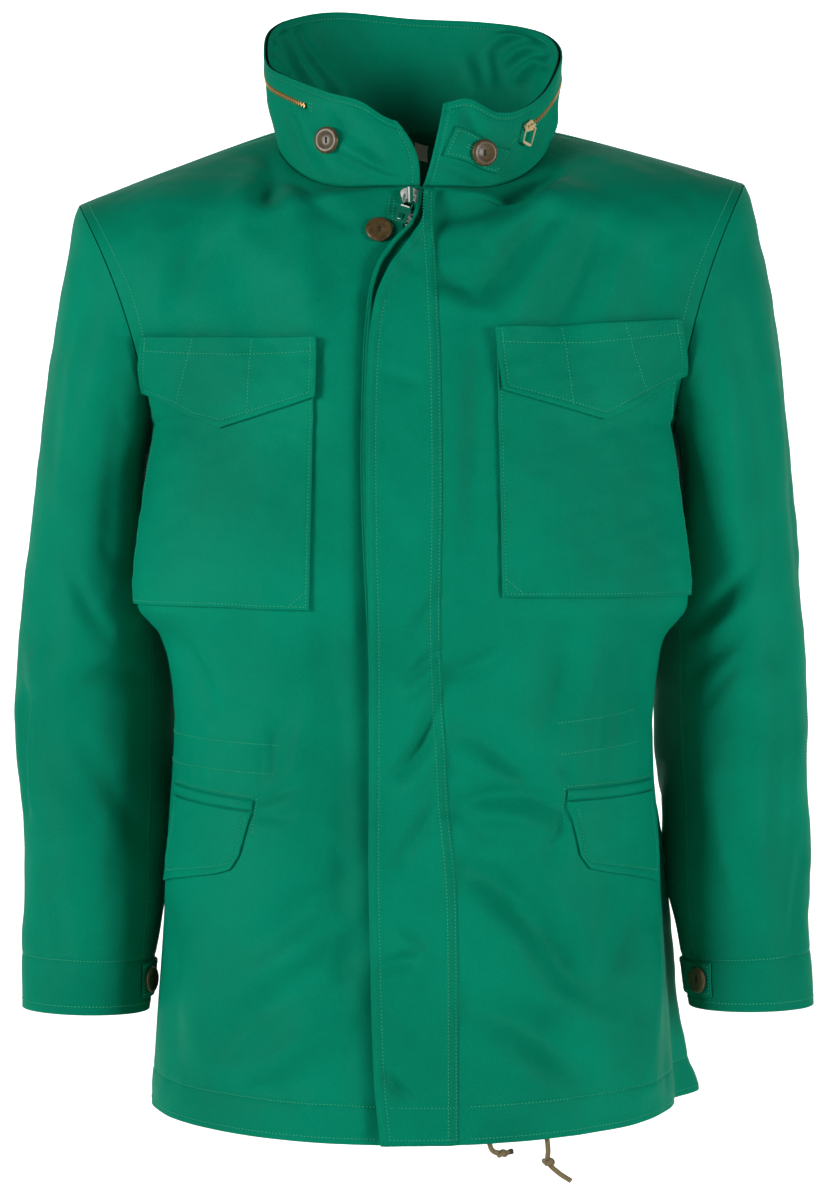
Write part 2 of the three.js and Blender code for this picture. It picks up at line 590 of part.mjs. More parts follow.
const collarAngles = [...steps(0, NECK_POINT, NECK_STEPS.front), ...steps(NECK_POINT, 180, NECK_STEPS.back).slice(1)];
const collarColumns = [...collarAngles.slice(1), ...collarAngles.slice(1, -1).reverse().map((a) => 360 - a)];
const collarHeights = [0, 0.25, 0.5, 0.75, 1];

function collarPlace(degrees, h, lift, trim = 0) {
  const edge = ({ low, high, power }) => mix(low, high, h ** power);
  const [start, end] = [edge(collarStart) + trim, edge(collarEnd) - trim];
  return collarCloth(THREE.MathUtils.clamp(degrees, start, end), h, lift);
}

function zipShare(degrees) {
  const atSide = degrees < 180 ? collarZip.share : collarZip.endShare;
  return mix(atSide, collarZip.backShare, Math.sin(radians(Math.min(180, Math.max(0, degrees - 90)))));
}
const collarHeight = (degrees) => collarLine(degrees, 1).distanceTo(collarLine(degrees, 0));
const collarAll = [0, ...collarColumns, collarZip.to, 370].sort((a, b) => a - b);
const outerCollar = wall((s, t, lift) => collarPlace(s, t, lift), collarAll, collarHeights, -COLLAR_LAYER, 0);
const alongZip = collarColumns.filter((a) => a > collarZip.from + 2 && a < collarZip.to - 2);
const zipAngles = [collarZip.from, ...alongZip, collarZip.to];
const zipBand = (width) => (a, t, lift) =>
  collarCloth(a, zipShare(a) + (((t - 0.5) * width) / collarHeight(a)), lift);
const zipSlot = wall(zipBand(collarZip.width), zipAngles, [0, 1], -COLLAR_LAYER - 0.7, 0.7);
add("collar_outer", geometryFrom(solidOf(outerCollar).subtract(solidOf(zipSlot))), cloth);
const innerLow = -2 * COLLAR_LAYER - COLLAR_GAP;
const innerPlace = (s, t, lift) => collarPlace(s, t, lift, 0.6 * t);
add("collar_inner", wall(innerPlace, collarAll, collarHeights, innerLow, innerLow + COLLAR_LAYER), clothInside);
const tapeLift = -COLLAR_LAYER - COLLAR_GAP / 2;
const zipTape = wall(zipBand(collarZip.width + 5), zipAngles, [0, 1], tapeLift - 0.3, tapeLift + 0.3);
add("collar_zip_tape", zipTape, brass);

// Front zip tape and chain, behind the fronts' edges. s is the distance round from the middle, + to the wearer's left.
const frontPoint = (s, z, lift) => frontAt(s < 0 ? RIGHT : LEFT, Math.abs(s), z, lift);
const zipRows = [-773, -720, -660, -600, -540, -480, -455, -430, -400, -360, -300, -240, -190, -150, -120, -95, -76];
const tapePlace = (s, z, lift) => frontPoint(s, z, lift);
const tapeColumns = [ZIP_X - 13, ZIP_X - 6, 0, ZIP_X + 10, ZIP_X + 16];
add("front_zip_tape", wall(tapePlace, tapeColumns, zipRows, -SHELL - 2.2, -SHELL - 1.2), cloth);
add("front_zip_chain", wall(tapePlace, [ZIP_X - 3, 0, ZIP_X + 3.5], zipRows, -SHELL - 0.9, 0), brass);

// Fly over the zip: an outer and an under layer, joined to the wearer's left front. The columns are the distances
// round to the free edge, of each layer, and to the stitching.
const flyEdges = [
  { z: -787, outer: -24, under: -19, stitched: 34 },
  { z: -735, outer: -29, under: -25, stitched: 34 },
  { z: -598, outer: -33, under: -29, stitched: 33 },
  { z: -530, outer: -33, under: -29, stitched: 27 },
  { z: -410, outer: -33, under: -34, stitched: 21 },
  { z: -298, outer: -35, under: -39, stitched: 22 },
  { z: -200, outer: -34, under: -38, stitched: 21 },
  { z: -150, outer: -29, under: -34, stitched: 19 },
  { z: -124, outer: -20, under: -28, stitched: 18 },
  { z: -106, outer: -8, under: -17, stitched: 17 },
  { z: -92, outer: 4, under: -4, stitched: 16 },
  { z: -78, outer: 9, under: 3, stitched: 17 },
  { z: -62, outer: 10, under: 5, stitched: 18 },
];
const flyRows = [-786.6, -745, -700, -655, -610, -565, -515, -475, -430, -380, -330, -284, -238, -200, -165, -140, -122,
  -108, -96, -85, -74, -63];
const flyBase = (s) => mix(1.3, 1, smooth(2, 12, s));
function flyPlace(edge, low, high) {
  return (share, z, top) => {
    const seam = read(flyEdges, "z", "stitched", z) - (edge === "under" ? 3 : 0);
    const s = mix(read(flyEdges, "z", edge, z), seam, share);
    return frontPoint(s, z, flyBase(s) + (top ? high : low));
  };
}
const flyColumns = [0, 0.25, 0.5, 0.75, 1];
add("fly_under", wall(flyPlace("under", 0, 1), flyColumns, flyRows, 0, 1), cloth);
add("fly_outer", wall(flyPlace("outer", 1.3, 2.5), flyColumns, flyRows, 0, 1), cloth);

// Patches laid on a front: the corners are distances round from the middle front and heights. top and bottom are
// lines of such corners, from the middle front outwards.
function alongLine(line, share) {
  const lengths = line.slice(1).map((p, i) => Math.hypot(p[0] - line[i][0], p[1] - line[i][1]));
  let left = share * lengths.reduce((sum, length) => sum + length, 0);
  let i = 0;
  while (i < lengths.length - 1 && left > lengths[i]) left -= lengths[i++];
  const t = Math.min(1, left / lengths[i]);
  return [mix(line[i][0], line[i + 1][0], t), mix(line[i][1], line[i + 1][1], t)];
}

function patch(side, top, bottom, across, down, low, high) {
  const place = (s, t, lift) => {
    const [a, b] = [alongLine(top, s), alongLine(bottom, s)];
    const drop = (a[1] - b[1]) * t;
    return frontAt(side, mix(a[0], b[0], t), a[1] - drop, lift);
  };
  return wall(place, across, down, low, high);
}

const chestPockets = {
  [LEFT]: {
    top: [[63, -180], [220, -167]],
    bottom: [[67, -374], [142, -374], [246, -372]],
    flapTop: [[61, -172], [220, -159]],
    flapBottom: [[67, -218], [150, -239], [233, -199]],
  },
  [RIGHT]: {
    top: [[74, -187], [226, -180]],
    bottom: [[78, -384], [150, -381], [248, -378]],
    flapTop: [[72, -179], [226, -172]],
    flapBottom: [[73, -223], [150, -246], [236, -212]],
  },
};
const lowerPockets = {
  [LEFT]: {
    welt: [[119, -521], [215, -516]],
    flapTop: [[119, -530], [217, -525]],
    flapBottom: [[128, -570], [136, -581], [150, -584], [234, -598]],
  },
  [RIGHT]: {
    welt: [[125, -529], [215, -520]],
    flapTop: [[125, -538], [217, -529]],
    flapBottom: [[134, -571], [141, -582], [155, -586], [240, -598]],
  },
};
const POCKET_LIFT = 1.4;
for (const side of [LEFT, RIGHT]) {
  const name = sideName[side];
  const chest = chestPockets[side];
  const down = [0, 0.06, 0.12, 0.18, 0.24, 0.3, 0.37, 0.45, 0.55, 0.68, 0.84, 1];
  add("chest_pocket_" + name, patch(side, chest.top, chest.bottom, steps(0, 1, 13), down, POCKET_LIFT, 3), cloth);
  const flap = patch(side, chest.flapTop, chest.flapBottom, steps(0, 1, 13), steps(0, 1, 5), 4.4, 5.9);
  add("chest_flap_" + name, flap, cloth);
  const lower = lowerPockets[side];
  const weltFoot = lower.welt.map(([s, z]) => [s, z - 8]);
  add("lower_welt_" + name, patch(side, lower.welt, weltFoot, steps(0, 1, 6), [0, 1], 0.8, 2.2), cloth);
  const lowerFlap = patch(side, lower.flapTop, lower.flapBottom, steps(0, 1, 12), steps(0, 1, 4), 0.8, 2.4);
  add("lower_flap_" + name, lowerFlap, cloth);
}

// Cuff tabs, wrapped over the inner side of each cuff, with a button.
const cuffTabs = {
  [LEFT]: { from: 134, to: 231, button: 148 },
  [RIGHT]: { from: 155, to: 251, button: 167 },
};
const cuffTabRows = [0.93, 0.955, 0.98];
for (const side of [LEFT, RIGHT]) {
  const { from, to } = cuffTabs[side];
  const place = (s, t, lift) => sleeveCloth(side, t, mix(from, to, s), lift);
  add("cuff_tab_" + sideName[side], wall(place, steps(0, 1, 8), cuffTabRows, 0.8, 2.2), cloth);
}

// Collar tab, buttoned over the throat. Its corners are degrees round and shares of the collar's height.
const collarTab = { top: [[15.9, 0.68], [40.6, 0.47]], bottom: [[11.6, 0.36], [35.6, 0.165]] };
function collarTabPlace(s, t, lift) {
  const [a, b] = [alongLine(collarTab.top, s), alongLine(collarTab.bottom, s)];
  return collarCloth(mix(a[0], b[0], t), mix(a[1], b[1], t), lift);
}
add("collar_tab", wall(collarTabPlace, steps(0, 1, 6), steps(0, 1, 3), 0.9, 2.3), cloth);

// A frame on some cloth: Z points out of it, Y along some direction that lies in it.
function frameAt(at, normal, along) {
  const z = normal.clone().normalize();
  const x = along.clone().cross(z).normalize();
  const y = z.clone().cross(x);
  return new THREE.Matrix4().makeBasis(x, y, z).setPosition(at);
}

const box = (sx, sy, sz, x, y, z) => solidOf(new THREE.BoxGeometry(sx, sy, sz).translate(x, y, z));

// Buttons: dished horn discs with two holes, one above the other.
const BUTTON = { radius: 10.3, thick: 3.4, rim: 2, holeRadius: 1.3, holeOff: 2.4 };
function buttonGeometry() {
  const { radius, thick, rim } = BUTTON;
  const profile = [
    [0, 0], [radius * 0.72, 0], [radius, thick * 0.45], [radius - 0.7, thick], [radius - rim, thick - 0.3],
    [radius - rim - 1.6, thick - 1.3], [0, thick - 1.3],
  ].map(([r, h]) => new THREE.Vector2(r, h));
  const disc = new THREE.LatheGeometry(profile, 18).rotateX(Math.PI / 2);
  const hole = (y) => solidOf(new THREE.CylinderGeometry(BUTTON.holeRadius, BUTTON.holeRadius, 9, 8)
    .rotateX(Math.PI / 2).translate(0, y, 0));
  return geometryFrom(solidOf(disc).subtract(hole(BUTTON.holeOff).add(hole(-BUTTON.holeOff))));
}

function addButton(name, at, normal, up) {
  add(name, buttonGeometry().applyMatrix4(frameAt(at, normal, up)), horn);
}

const frontNormal = (s, z) => frontPoint(s, z, 1).sub(frontPoint(s, z, 0)).normalize();
const collarButtons = { [LEFT]: { at: 28, h: 0.42, lift: 2.7 }, [RIGHT]: { at: 326, h: 0.48, lift: 0.5 } };
for (const side of [LEFT, RIGHT]) {
  const { at, h, lift } = collarButtons[side];
  addButton("collar_button_" + sideName[side], collarCloth(at, h, lift), collarFrame(at, h).normal, UP);
  const degrees = cuffTabs[side].button;
  const onCuff = (off) => sleeveCloth(side, 0.955, degrees, off);
  addButton("cuff_button_" + sideName[side], onCuff(2.9), onCuff(1).sub(onCuff(0)), UP);
}
addButton("front_button", frontPoint(-26, -94, 0.5), frontNormal(-26, -94), UP);

// Zip sliders. Each has a body on the chain and a bridge along it, and a pull tab whose crossbar turns loosely in
// the window under the bridge.
const sliders = {
  collar: { wide: 8, long: 9.5, thick: 2.2, bridge: 1.6, reach: 7, post: 0.8, window: 1.9, roof: 0.7 },
  front: { wide: 11.5, long: 12.5, thick: 3, bridge: 4, reach: 11, post: 1.1, window: 2.8, roof: 1.4 },
};
function sliderGeometry({ wide, long, thick, bridge, reach, post, window, roof }) {
  const outline = new THREE.Shape();
  outline.moveTo(-wide / 2, long / 2 - 1);
  outline.quadraticCurveTo(0, long / 2 + 0.6, wide / 2, long / 2 - 1);
  outline.lineTo(wide * 0.34, -long / 2);
  outline.lineTo(-wide * 0.34, -long / 2);
  const extrude = { depth: thick, bevelEnabled: false, curveSegments: 8 };
  const body = solidOf(new THREE.ExtrudeGeometry(outline, extrude));
  const high = thick + window + roof;
  const arch = box(bridge, reach, high - 0.5, 0, 0, 0.5 + (high - 0.5) / 2);
  const hollow = box(bridge + 2, reach - 2 * post, window, 0, 0, thick + window / 2);
  const lowCut = box(bridge + 2, reach + 2, 0.1, 0, 0, -5);
  return geometryFrom(body.add(arch.subtract(hollow).subtract(lowCut)));
}

// A pull tab hangs down its own -Y from its crossbar, whose middle is the origin.
function tabGeometry({ half, inner, hole, length, bar, thick, openFoot }) {
  const foot = half * 0.86;
  const corner = Array.from({ length: 4 }, (_, i) => [Math.sin((i * Math.PI) / 6), Math.cos((i * Math.PI) / 6)]);
  const rightFoot = corner.map(([c, d]) => [foot - 2 + 2 * d, -length + 2 - 2 * c]);
  const leftFoot = [...rightFoot].reverse().map(([x, y]) => [-x, y]);
  const outline = [[-half, bar / 2], [half, bar / 2], ...rightFoot, ...leftFoot];
  const plate = new THREE.Shape(outline.map(([x, y]) => new THREE.Vector2(x, y)));
  const solid = solidOf(new THREE.ExtrudeGeometry(plate, { depth: thick, bevelEnabled: false }));
  const low = openFoot ? -length + 2.2 : -hole;
  const window = box(inner * 2, -bar / 2 - low, thick + 2, 0, (low - bar / 2) / 2, thick / 2);
  return geometryFrom(solid.subtract(window)).translate(0, 0, -thick / 2);
}

// The slider of the front zip, at its top.
const frontSlider = { s: ZIP_X, z: -66.5, lift: 0.5 };
const frontSliderFrame = frameAt(
  frontPoint(frontSlider.s, frontSlider.z, frontSlider.lift),
  frontNormal(frontSlider.s, frontSlider.z),
  UP,
);
add("front_zip_slider", sliderGeometry(sliders.front).applyMatrix4(frontSliderFrame), nickel);

function addPull(name, sliderFrame, spec, size, lean, material) {
  const axle = spec.thick + spec.window / 2;
  const turn = new THREE.Matrix4().makeRotationZ(radians(lean)).setPosition(0, 0, axle);
  const frame = sliderFrame.clone().multiply(turn);
  add(name, tabGeometry(size).applyMatrix4(frame), material);
  return frame;
}

const frontTab = { half: 5.6, inner: 4.5, hole: 8.5, length: 27, bar: 1.4, thick: 1.2 };
const frontPull = addPull("front_zip_pull", frontSliderFrame, sliders.front, frontTab, -20, lacquer);

// The slider of the collar zip, near its front end, and its frame-shaped tab, which hangs down.
const zipAt = collarZip.from + 1.5;
const zipTangent = collarCloth(zipAt + 2, zipShare(zipAt + 2)).sub(collarCloth(zipAt, zipShare(zipAt)));
const zipNormal = collarFrame(zipAt, zipShare(zipAt)).normal;
const collarSliderFrame = frameAt(collarCloth(zipAt, zipShare(zipAt), 0.5), zipNormal, zipTangent);
add("collar_zip_slider", sliderGeometry(sliders.collar).applyMatrix4(collarSliderFrame), brass);
const collarTabSize = { half: 5, inner: 3.9, hole: 9, length: 16, bar: 1, thick: 0.9, openFoot: true };
const collarPull = addPull("collar_zip_pull", collarSliderFrame, sliders.collar, collarTabSize, 44, brass);

// Hem drawcords: their free ends come out under the hem and are knotted.
function cordSolid(points, radius) {
  const curve = new THREE.CatmullRomCurve3(points.map((p) => point(...p)));
  const ring = new THREE.Shape(Array.from({ length: 8 }, (_, i) => {
    const a = (i * Math.PI) / 4;
    return new THREE.Vector2(radius * Math.cos(a), radius * Math.sin(a));
  }));
  return solidOf(new THREE.ExtrudeGeometry(ring, { steps: 10, extrudePath: curve, bevelEnabled: false }));
}
const knotSolid = ([x, y, z], radius) =>
  solidOf(new THREE.SphereGeometry(radius, 9, 6).scale(1, 0.9, 1.1).translate(x, y, z));
const CORD_RADIUS = 2;
const cords = {
  inner: [[56.4, -121.2, -775], [57.8, -122.3, -786], [60.5, -125.6, -791.6], [67, -128, -793], [75, -127.5, -791.4]],
  outer: [[100.3, -110.8, -773], [101.9, -112.2, -785], [102.5, -115, -793], [102.6, -117.5, -801.5],
    [109, -118.5, -808.5], [119.7, -118, -815.8]],
};
const knots = { inner: [66.5, -128, -793], outer: [102.6, -117.5, -801.5] };
for (const name of ["inner", "outer"]) {
  const solid = cordSolid(cords[name], CORD_RADIUS).add(knotSolid(knots[name], 4.4));
  add("hem_cord_" + name, geometryFrom(solid), braid);
}

// Blank label inside the back of the neck.
const labelPlace = (u, v, lift) => torsoCloth("back", LEFT, u, v, lift);
const label = wall(labelPlace, [0.006, 0.028, 0.05], [0.7985, 0.8075, 0.816], -SHELL - 1.6, -SHELL - 1);
add("neck_label", label, labelCloth);

export default jacket;
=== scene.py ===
import math

import bpy
import numpy as np
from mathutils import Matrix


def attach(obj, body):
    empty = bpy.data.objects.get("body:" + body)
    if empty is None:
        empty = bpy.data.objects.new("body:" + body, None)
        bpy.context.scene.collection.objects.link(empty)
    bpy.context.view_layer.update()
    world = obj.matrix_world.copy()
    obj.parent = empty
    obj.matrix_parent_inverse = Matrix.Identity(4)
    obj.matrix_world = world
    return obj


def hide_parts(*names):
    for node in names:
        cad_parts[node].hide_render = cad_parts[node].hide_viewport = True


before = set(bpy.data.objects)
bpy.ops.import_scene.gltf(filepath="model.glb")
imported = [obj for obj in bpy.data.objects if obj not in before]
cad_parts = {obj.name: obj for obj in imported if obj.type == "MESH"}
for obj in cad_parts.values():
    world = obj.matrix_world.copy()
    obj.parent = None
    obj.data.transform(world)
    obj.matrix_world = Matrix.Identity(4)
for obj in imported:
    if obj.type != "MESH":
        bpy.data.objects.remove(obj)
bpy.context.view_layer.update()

# The camera stands level with the waist, 2.2 m in front of the jacket. The jacket hangs before a pale sweep
# of paper that is floor and backdrop in one. Two soft lights stand in front, left and right, and a third
# lights the paper.
MM = 0.001  # all the sizes below are millimetres, and Blender's are metres
STANDOFF = 2200
LENS_HEIGHT = -376
eye = bpy.data.cameras.new("lens")
eye.lens = 82.5
eye.sensor_width = 36
eye.clip_end = 20
viewpoint = bpy.data.objects.new("camera", eye)
viewpoint.location = (1.6 * MM, -STANDOFF * MM, LENS_HEIGHT * MM)
viewpoint.rotation_euler = (math.pi / 2, 0, 0)
bpy.context.scene.collection.objects.link(viewpoint)
bpy.context.scene.camera = viewpoint
bpy.context.scene.view_settings.view_transform = "Standard"  # product colours, with no film-like greying


def shader(name, colour, roughness, **sockets):
    """A plain material. Its look is on the shader's own sockets, given by name with spaces as underscores."""
    made = bpy.data.materials.new(name)
    made.use_nodes = True
    surface = made.node_tree.nodes["Principled BSDF"]
    surface.inputs["Base Color"].default_value = (*colour, 1)
    surface.inputs["Roughness"].default_value = roughness
    for socket, value in sockets.items():
        surface.inputs[socket.replace("_", " ")].default_value = value
    return made


def mesh_object(name, points, faces, material, smooth=True):
    """A mesh from points in millimetres."""
    mesh = bpy.data.meshes.new(name)
    mesh.from_pydata((np.asarray(points, float).reshape(-1, 3) * MM).tolist(), [], [list(f) for f in faces])
    mesh.materials.append(material)
    mesh.polygons.foreach_set("use_smooth", [smooth] * len(mesh.polygons))
    mesh.update()
    made = bpy.data.objects.new(name, mesh)
    bpy.context.scene.collection.objects.link(made)
    return made


paper = shader("backdrop_paper", (0.86, 0.86, 0.85), 0.9)
FLOOR_Z, WALL_Y, BEND_RADIUS = -1300, 4400, 900
sweep_bend = [(WALL_Y - BEND_RADIUS * (1 - math.sin(a)), FLOOR_Z + BEND_RADIUS * (1 - math.cos(a)))
              for a in np.linspace(0, math.pi / 2, 13)]
sweep_line = [(-7000, FLOOR_Z)] + sweep_bend + [(WALL_Y, 6000)]
sweep_points = [(x, y, z) for y, z in sweep_line for x in (-9000, 9000)]
sweep_faces = [(2 * i, 2 * i + 1, 2 * i + 3, 2 * i + 2) for i in range(len(sweep_line) - 1)]
mesh_object("backdrop", sweep_points, sweep_faces, paper)


def softbox(name, place, aim, width, power):
    """A square soft light that faces aim. Its power is in watts."""
    lamp = bpy.data.lights.new(name, "AREA")
    lamp.shape = "SQUARE"
    lamp.size = width * MM
    lamp.energy = power
    holder = bpy.data.objects.new(name, lamp)
    holder.location = [p * MM for p in place]
    direction = holder.location - type(holder.location)([a * MM for a in aim])
    holder.rotation_euler = direction.to_track_quat("Z", "Y").to_euler()
    bpy.context.scene.collection.objects.link(holder)


softbox("key_light", (-2300, -1700, 80), (0, 0, -400), 900, 57)
softbox("fill_light", (2400, -1700, -260), (0, 0, -400), 900, 45)
softbox("backdrop_light", (0, 900, 2600), (0, 4400, 1400), 3000, 350)
sky = bpy.data.worlds.new("studio_air")
sky.use_nodes = True
sky.node_tree.nodes["Background"].inputs["Color"].default_value = (1, 1, 1, 1)
sky.node_tree.nodes["Background"].inputs["Strength"].default_value = 0.08
bpy.context.scene.world = sky

# Two free ends of the hem's drawcord: round khaki braid, 4 mm thick, which comes out under the hem at the
# second point of its route and is knotted so that it can't slip back. The inner end has a dark dipped tip,
# the outer one a cut tail.
CORD_DIAMETER = 4
cord_routes = {
    "inner": [(56.4, -121.2, -775), (57.8, -122.3, -786), (60.5, -125.6, -791.6), (67, -128, -793),
              (75, -127.5, -791.4)],
    "outer": [(100.3, -110.8, -773), (101.9, -112.2, -785), (102.5, -115, -793), (102.6, -117.5, -801.5),
              (109, -118.5, -808.5), (119.7, -118, -815.8)],
}
cord_knots = {"inner": (66.5, -128, -793), "outer": (102.6, -117.5, -801.5)}
KNOT_RADIUS = 2.7


def grain(material, kind, **sockets):
    """A texture node of a material, laid on the piece's own coordinates."""
    nodes = material.node_tree.nodes
    made = nodes.new("ShaderNodeTex" + kind)
    for socket, value in sockets.items():
        made.inputs[socket].default_value = value
    material.node_tree.links.new(nodes.new("ShaderNodeTexCoord").outputs["Object"], made.inputs["Vector"])
    return made


def raise_surface(material, height, strength, distance):
    """Low relief from a texture's output. distance is in metres."""
    nodes, links = material.node_tree.nodes, material.node_tree.links
    bump = nodes.new("ShaderNodeBump")
    bump.inputs["Strength"].default_value = strength
    bump.inputs["Distance"].default_value = distance
    links.new(height, bump.inputs["Height"])
    links.new(bump.outputs["Normal"], nodes["Principled BSDF"].inputs["Normal"])


braid = shader("khaki_braid", (0.20, 0.145, 0.062), 0.85, Sheen_Weight=0.3)
raise_surface(braid, grain(braid, "Voronoi", Scale=900).outputs["Distance"], 0.6, 0.0004)
dipped_tip = shader("dipped_tip", (0.035, 0.025, 0.016), 0.5)


def unit(vectors):
    return vectors / np.maximum(np.linalg.norm(vectors, axis=-1, keepdims=True), 1e-12)


def tube(name, path, radii, material, sides=10):
    """A round tube along points, with its ends closed. radii is one number, or one for each point."""
    path = np.asarray(path, float)
    radii = np.broadcast_to(radii, len(path))
    forward = unit(np.gradient(path, axis=0))
    side = np.zeros_like(path)
    side[0] = unit(np.cross(forward[0], (0.3, 0.2, 0.9)))
    for i in range(1, len(path)):
        side[i] = unit(side[i - 1] - forward[i] * (side[i - 1] @ forward[i]))
    other = np.cross(forward, side)
    angles = np.linspace(0, 2 * np.pi, sides, endpoint=False)
    ring = side[:, None] * np.cos(angles)[None, :, None] + other[:, None] * np.sin(angles)[None, :, None]
    points = path[:, None] + ring * radii[:, None, None]
    faces = [
        (i * sides + k, i * sides + (k + 1) % sides, (i + 1) * sides + (k + 1) % sides, (i + 1) * sides + k)
        for i in range(len(path) - 1)
        for k in range(sides)
    ]
    faces += [tuple(range(sides - 1, -1, -1)), tuple(range((len(path) - 1) * sides, len(path) * sides))]
    return mesh_object(name, points, faces, material)


for name, route in cord_routes.items():
    line = bpy.data.curves.new("hem_cord_" + name, "CURVE")
    line.dimensions = "3D"
    line.bevel_depth = CORD_DIAMETER / 2 * MM
    line.bevel_resolution = 4
    line.use_fill_caps = True
    line.materials.append(braid)
    spline = line.splines.new("BEZIER")
    spline.bezier_points.add(len(route) - 1)
    for knot_point, at in zip(spline.bezier_points, route):
        knot_point.co = [a * MM for a in at]
        knot_point.handle_left_type = knot_point.handle_right_type = "AUTO"
    cord = bpy.data.objects.new("hem_cord_" + name + "_braid", line)
    bpy.context.scene.collection.objects.link(cord)
    turns = np.linspace(0, 2 * np.pi, 60)
    loop = np.stack([np.sin(turns) + 2 * np.sin(2 * turns), np.cos(turns) - 2 * np.cos(2 * turns),
                     -np.sin(3 * turns)], axis=1)
    knot = tube("hem_knot_" + name, np.array(cord_knots[name]) + loop * KNOT_RADIUS * 0.5, 1.5, braid)
    pieces_on_it = [knot]
    if name == "inner":
        end = np.array(route[-1], float)
        along = unit(end - np.array(route[-2], float))
        tip_line = [end - along * 2.5, end, end + along * 0.8]
        pieces_on_it.append(tube("hem_cord_tip", tip_line, [2.2, 2.2, 1.6], dipped_tip))
    for piece in [cord] + pieces_on_it:
        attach(piece, "garment")
    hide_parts("hem_cord_" + name)

# The body is three pieces of sateen: two fronts and a one-piece back, sewn at the sides and shoulders. It is
# filled out as if worn, so its form comes from level sections up to the armpits, and above them from the neck
# hole, the shoulders and the armholes. Left and right are the wearer's: +X is the wearer's left.
LEFT, RIGHT = 1, -1
SIDES = {"left": LEFT, "right": RIGHT}
SHELL = 1.6
SIDE_Y = 5
HEM_Z, ARMPIT_Z = -787, -238
HEM_RISE_AT_BACK = 22
ROUNDNESS = 0.62
torso_sections = {
    "z": [-787, -720, -640, -560, -475, -430, -405, -380, -300, -238],
    "half": [209, 205, 200, 196, 190, 193, 194.5, 196, 200, 206],
    "front": [-131, -130, -128, -126, -121, -126, -129, -131, -134, -132],
    "back": [130, 128, 124, 120, 114, 119, 121.5, 124, 131, 133],
    "over": [0, 0, 0, 0, 6, 10, 26, 72, 46, 10],
}
neck = {"half_width": 108, "middle_y": -10, "half_depth": 75, "front_z": -58, "back_z": 6}
NECK_POINT = 100
NECK_SHARE = {"front": 33 / 64, "back": 41 / 64}
shoulder_tip = {LEFT: (264, -43), RIGHT: (266, -60)}
armhole_depth = {"front": 88, "back": 92}
ARMHOLE_BOW = 12
CHEST_BULGE = 30
SHOULDER_BOW = 5
GRID_U, GRID_V = 48, 128
EVENING_ROUNDS = 40


def point(x, y, z):
    return np.stack(np.broadcast_arrays(np.asarray(x, float), y, z), axis=-1)


def mix(a, b, t):
    return a + (b - a) * t


def smooth(low, high, value):
    """0 up to low, 1 from high on, and a soft rise between them."""
    t = np.clip((np.asarray(value, float) - low) / (high - low), 0, 1)
    return t * t * (3 - 2 * t)


def hump(at, middle, width):
    """1 in the middle, fading to nothing about twice the width away."""
    return np.exp(-(((at - middle) / width) ** 2))


def lengths_along(line):
    """How far along a line each of its points lies."""
    return np.concatenate([[0], np.cumsum(np.linalg.norm(np.diff(line, axis=0), axis=1))])


def picked(where, lengths, values):
    """The values that a line of points has at other lengths along it."""
    return np.stack([np.interp(where, lengths, values[:, k]) for k in range(values.shape[1])], axis=-1)


def read(table, key, column, at):
    """A column of a table between its rows, on a smooth curve through them."""
    keys, values = np.array(table[key], float), np.array(table[column], float)
    if keys[0] > keys[-1]:
        keys, values = keys[::-1], values[::-1]
    slopes = np.empty_like(values)
    slopes[1:-1] = (values[2:] - values[:-2]) / (keys[2:] - keys[:-2])
    slopes[0] = (values[1] - values[0]) / (keys[1] - keys[0])
    slopes[-1] = (values[-1] - values[-2]) / (keys[-1] - keys[-2])
    i = np.clip(np.searchsorted(keys, at, side="right") - 1, 0, len(keys) - 2)
    span = keys[i + 1] - keys[i]
    t = np.clip((at - keys[i]) / span, 0, 1)
    start, end = (2 * t**3 - 3 * t**2 + 1), (3 * t**2 - 2 * t**3)
    lean = (t**3 - 2 * t**2 + t) * span * slopes[i] + (t**3 - t**2) * span * slopes[i + 1]
    return start * values[i] + end * values[i + 1] + lean


def neckline(degrees):
    """Degrees are round from the middle front towards the wearer's left."""
    a = np.radians(degrees)
    away = np.abs((np.asarray(degrees, float) + 180) % 360 - 180)
    z = mix(neck["back_z"], neck["front_z"], 1 - smooth(25, 120, away))
    return point(neck["half_width"] * np.sin(a), neck["middle_y"] - neck["half_depth"] * np.cos(a), z)


def armhole(side, degrees):
    """Degrees are round from the shoulder tip: 90 is the front, 180 the armpit and 270 the back."""
    a = math.radians(degrees)
    tip_x, tip_z = shoulder_tip[side]
    deep = armhole_depth["front" if math.sin(a) > 0 else "back"]
    armpit_x = torso_sections["half"][-1]
    share = (1 + math.cos(a)) / 2
    x = mix(armpit_x, tip_x, share) - ARMHOLE_BOW * math.sin(a) ** 2
    return point(side * x, SIDE_Y - deep * math.sin(a), mix(ARMPIT_Z, tip_z, share))


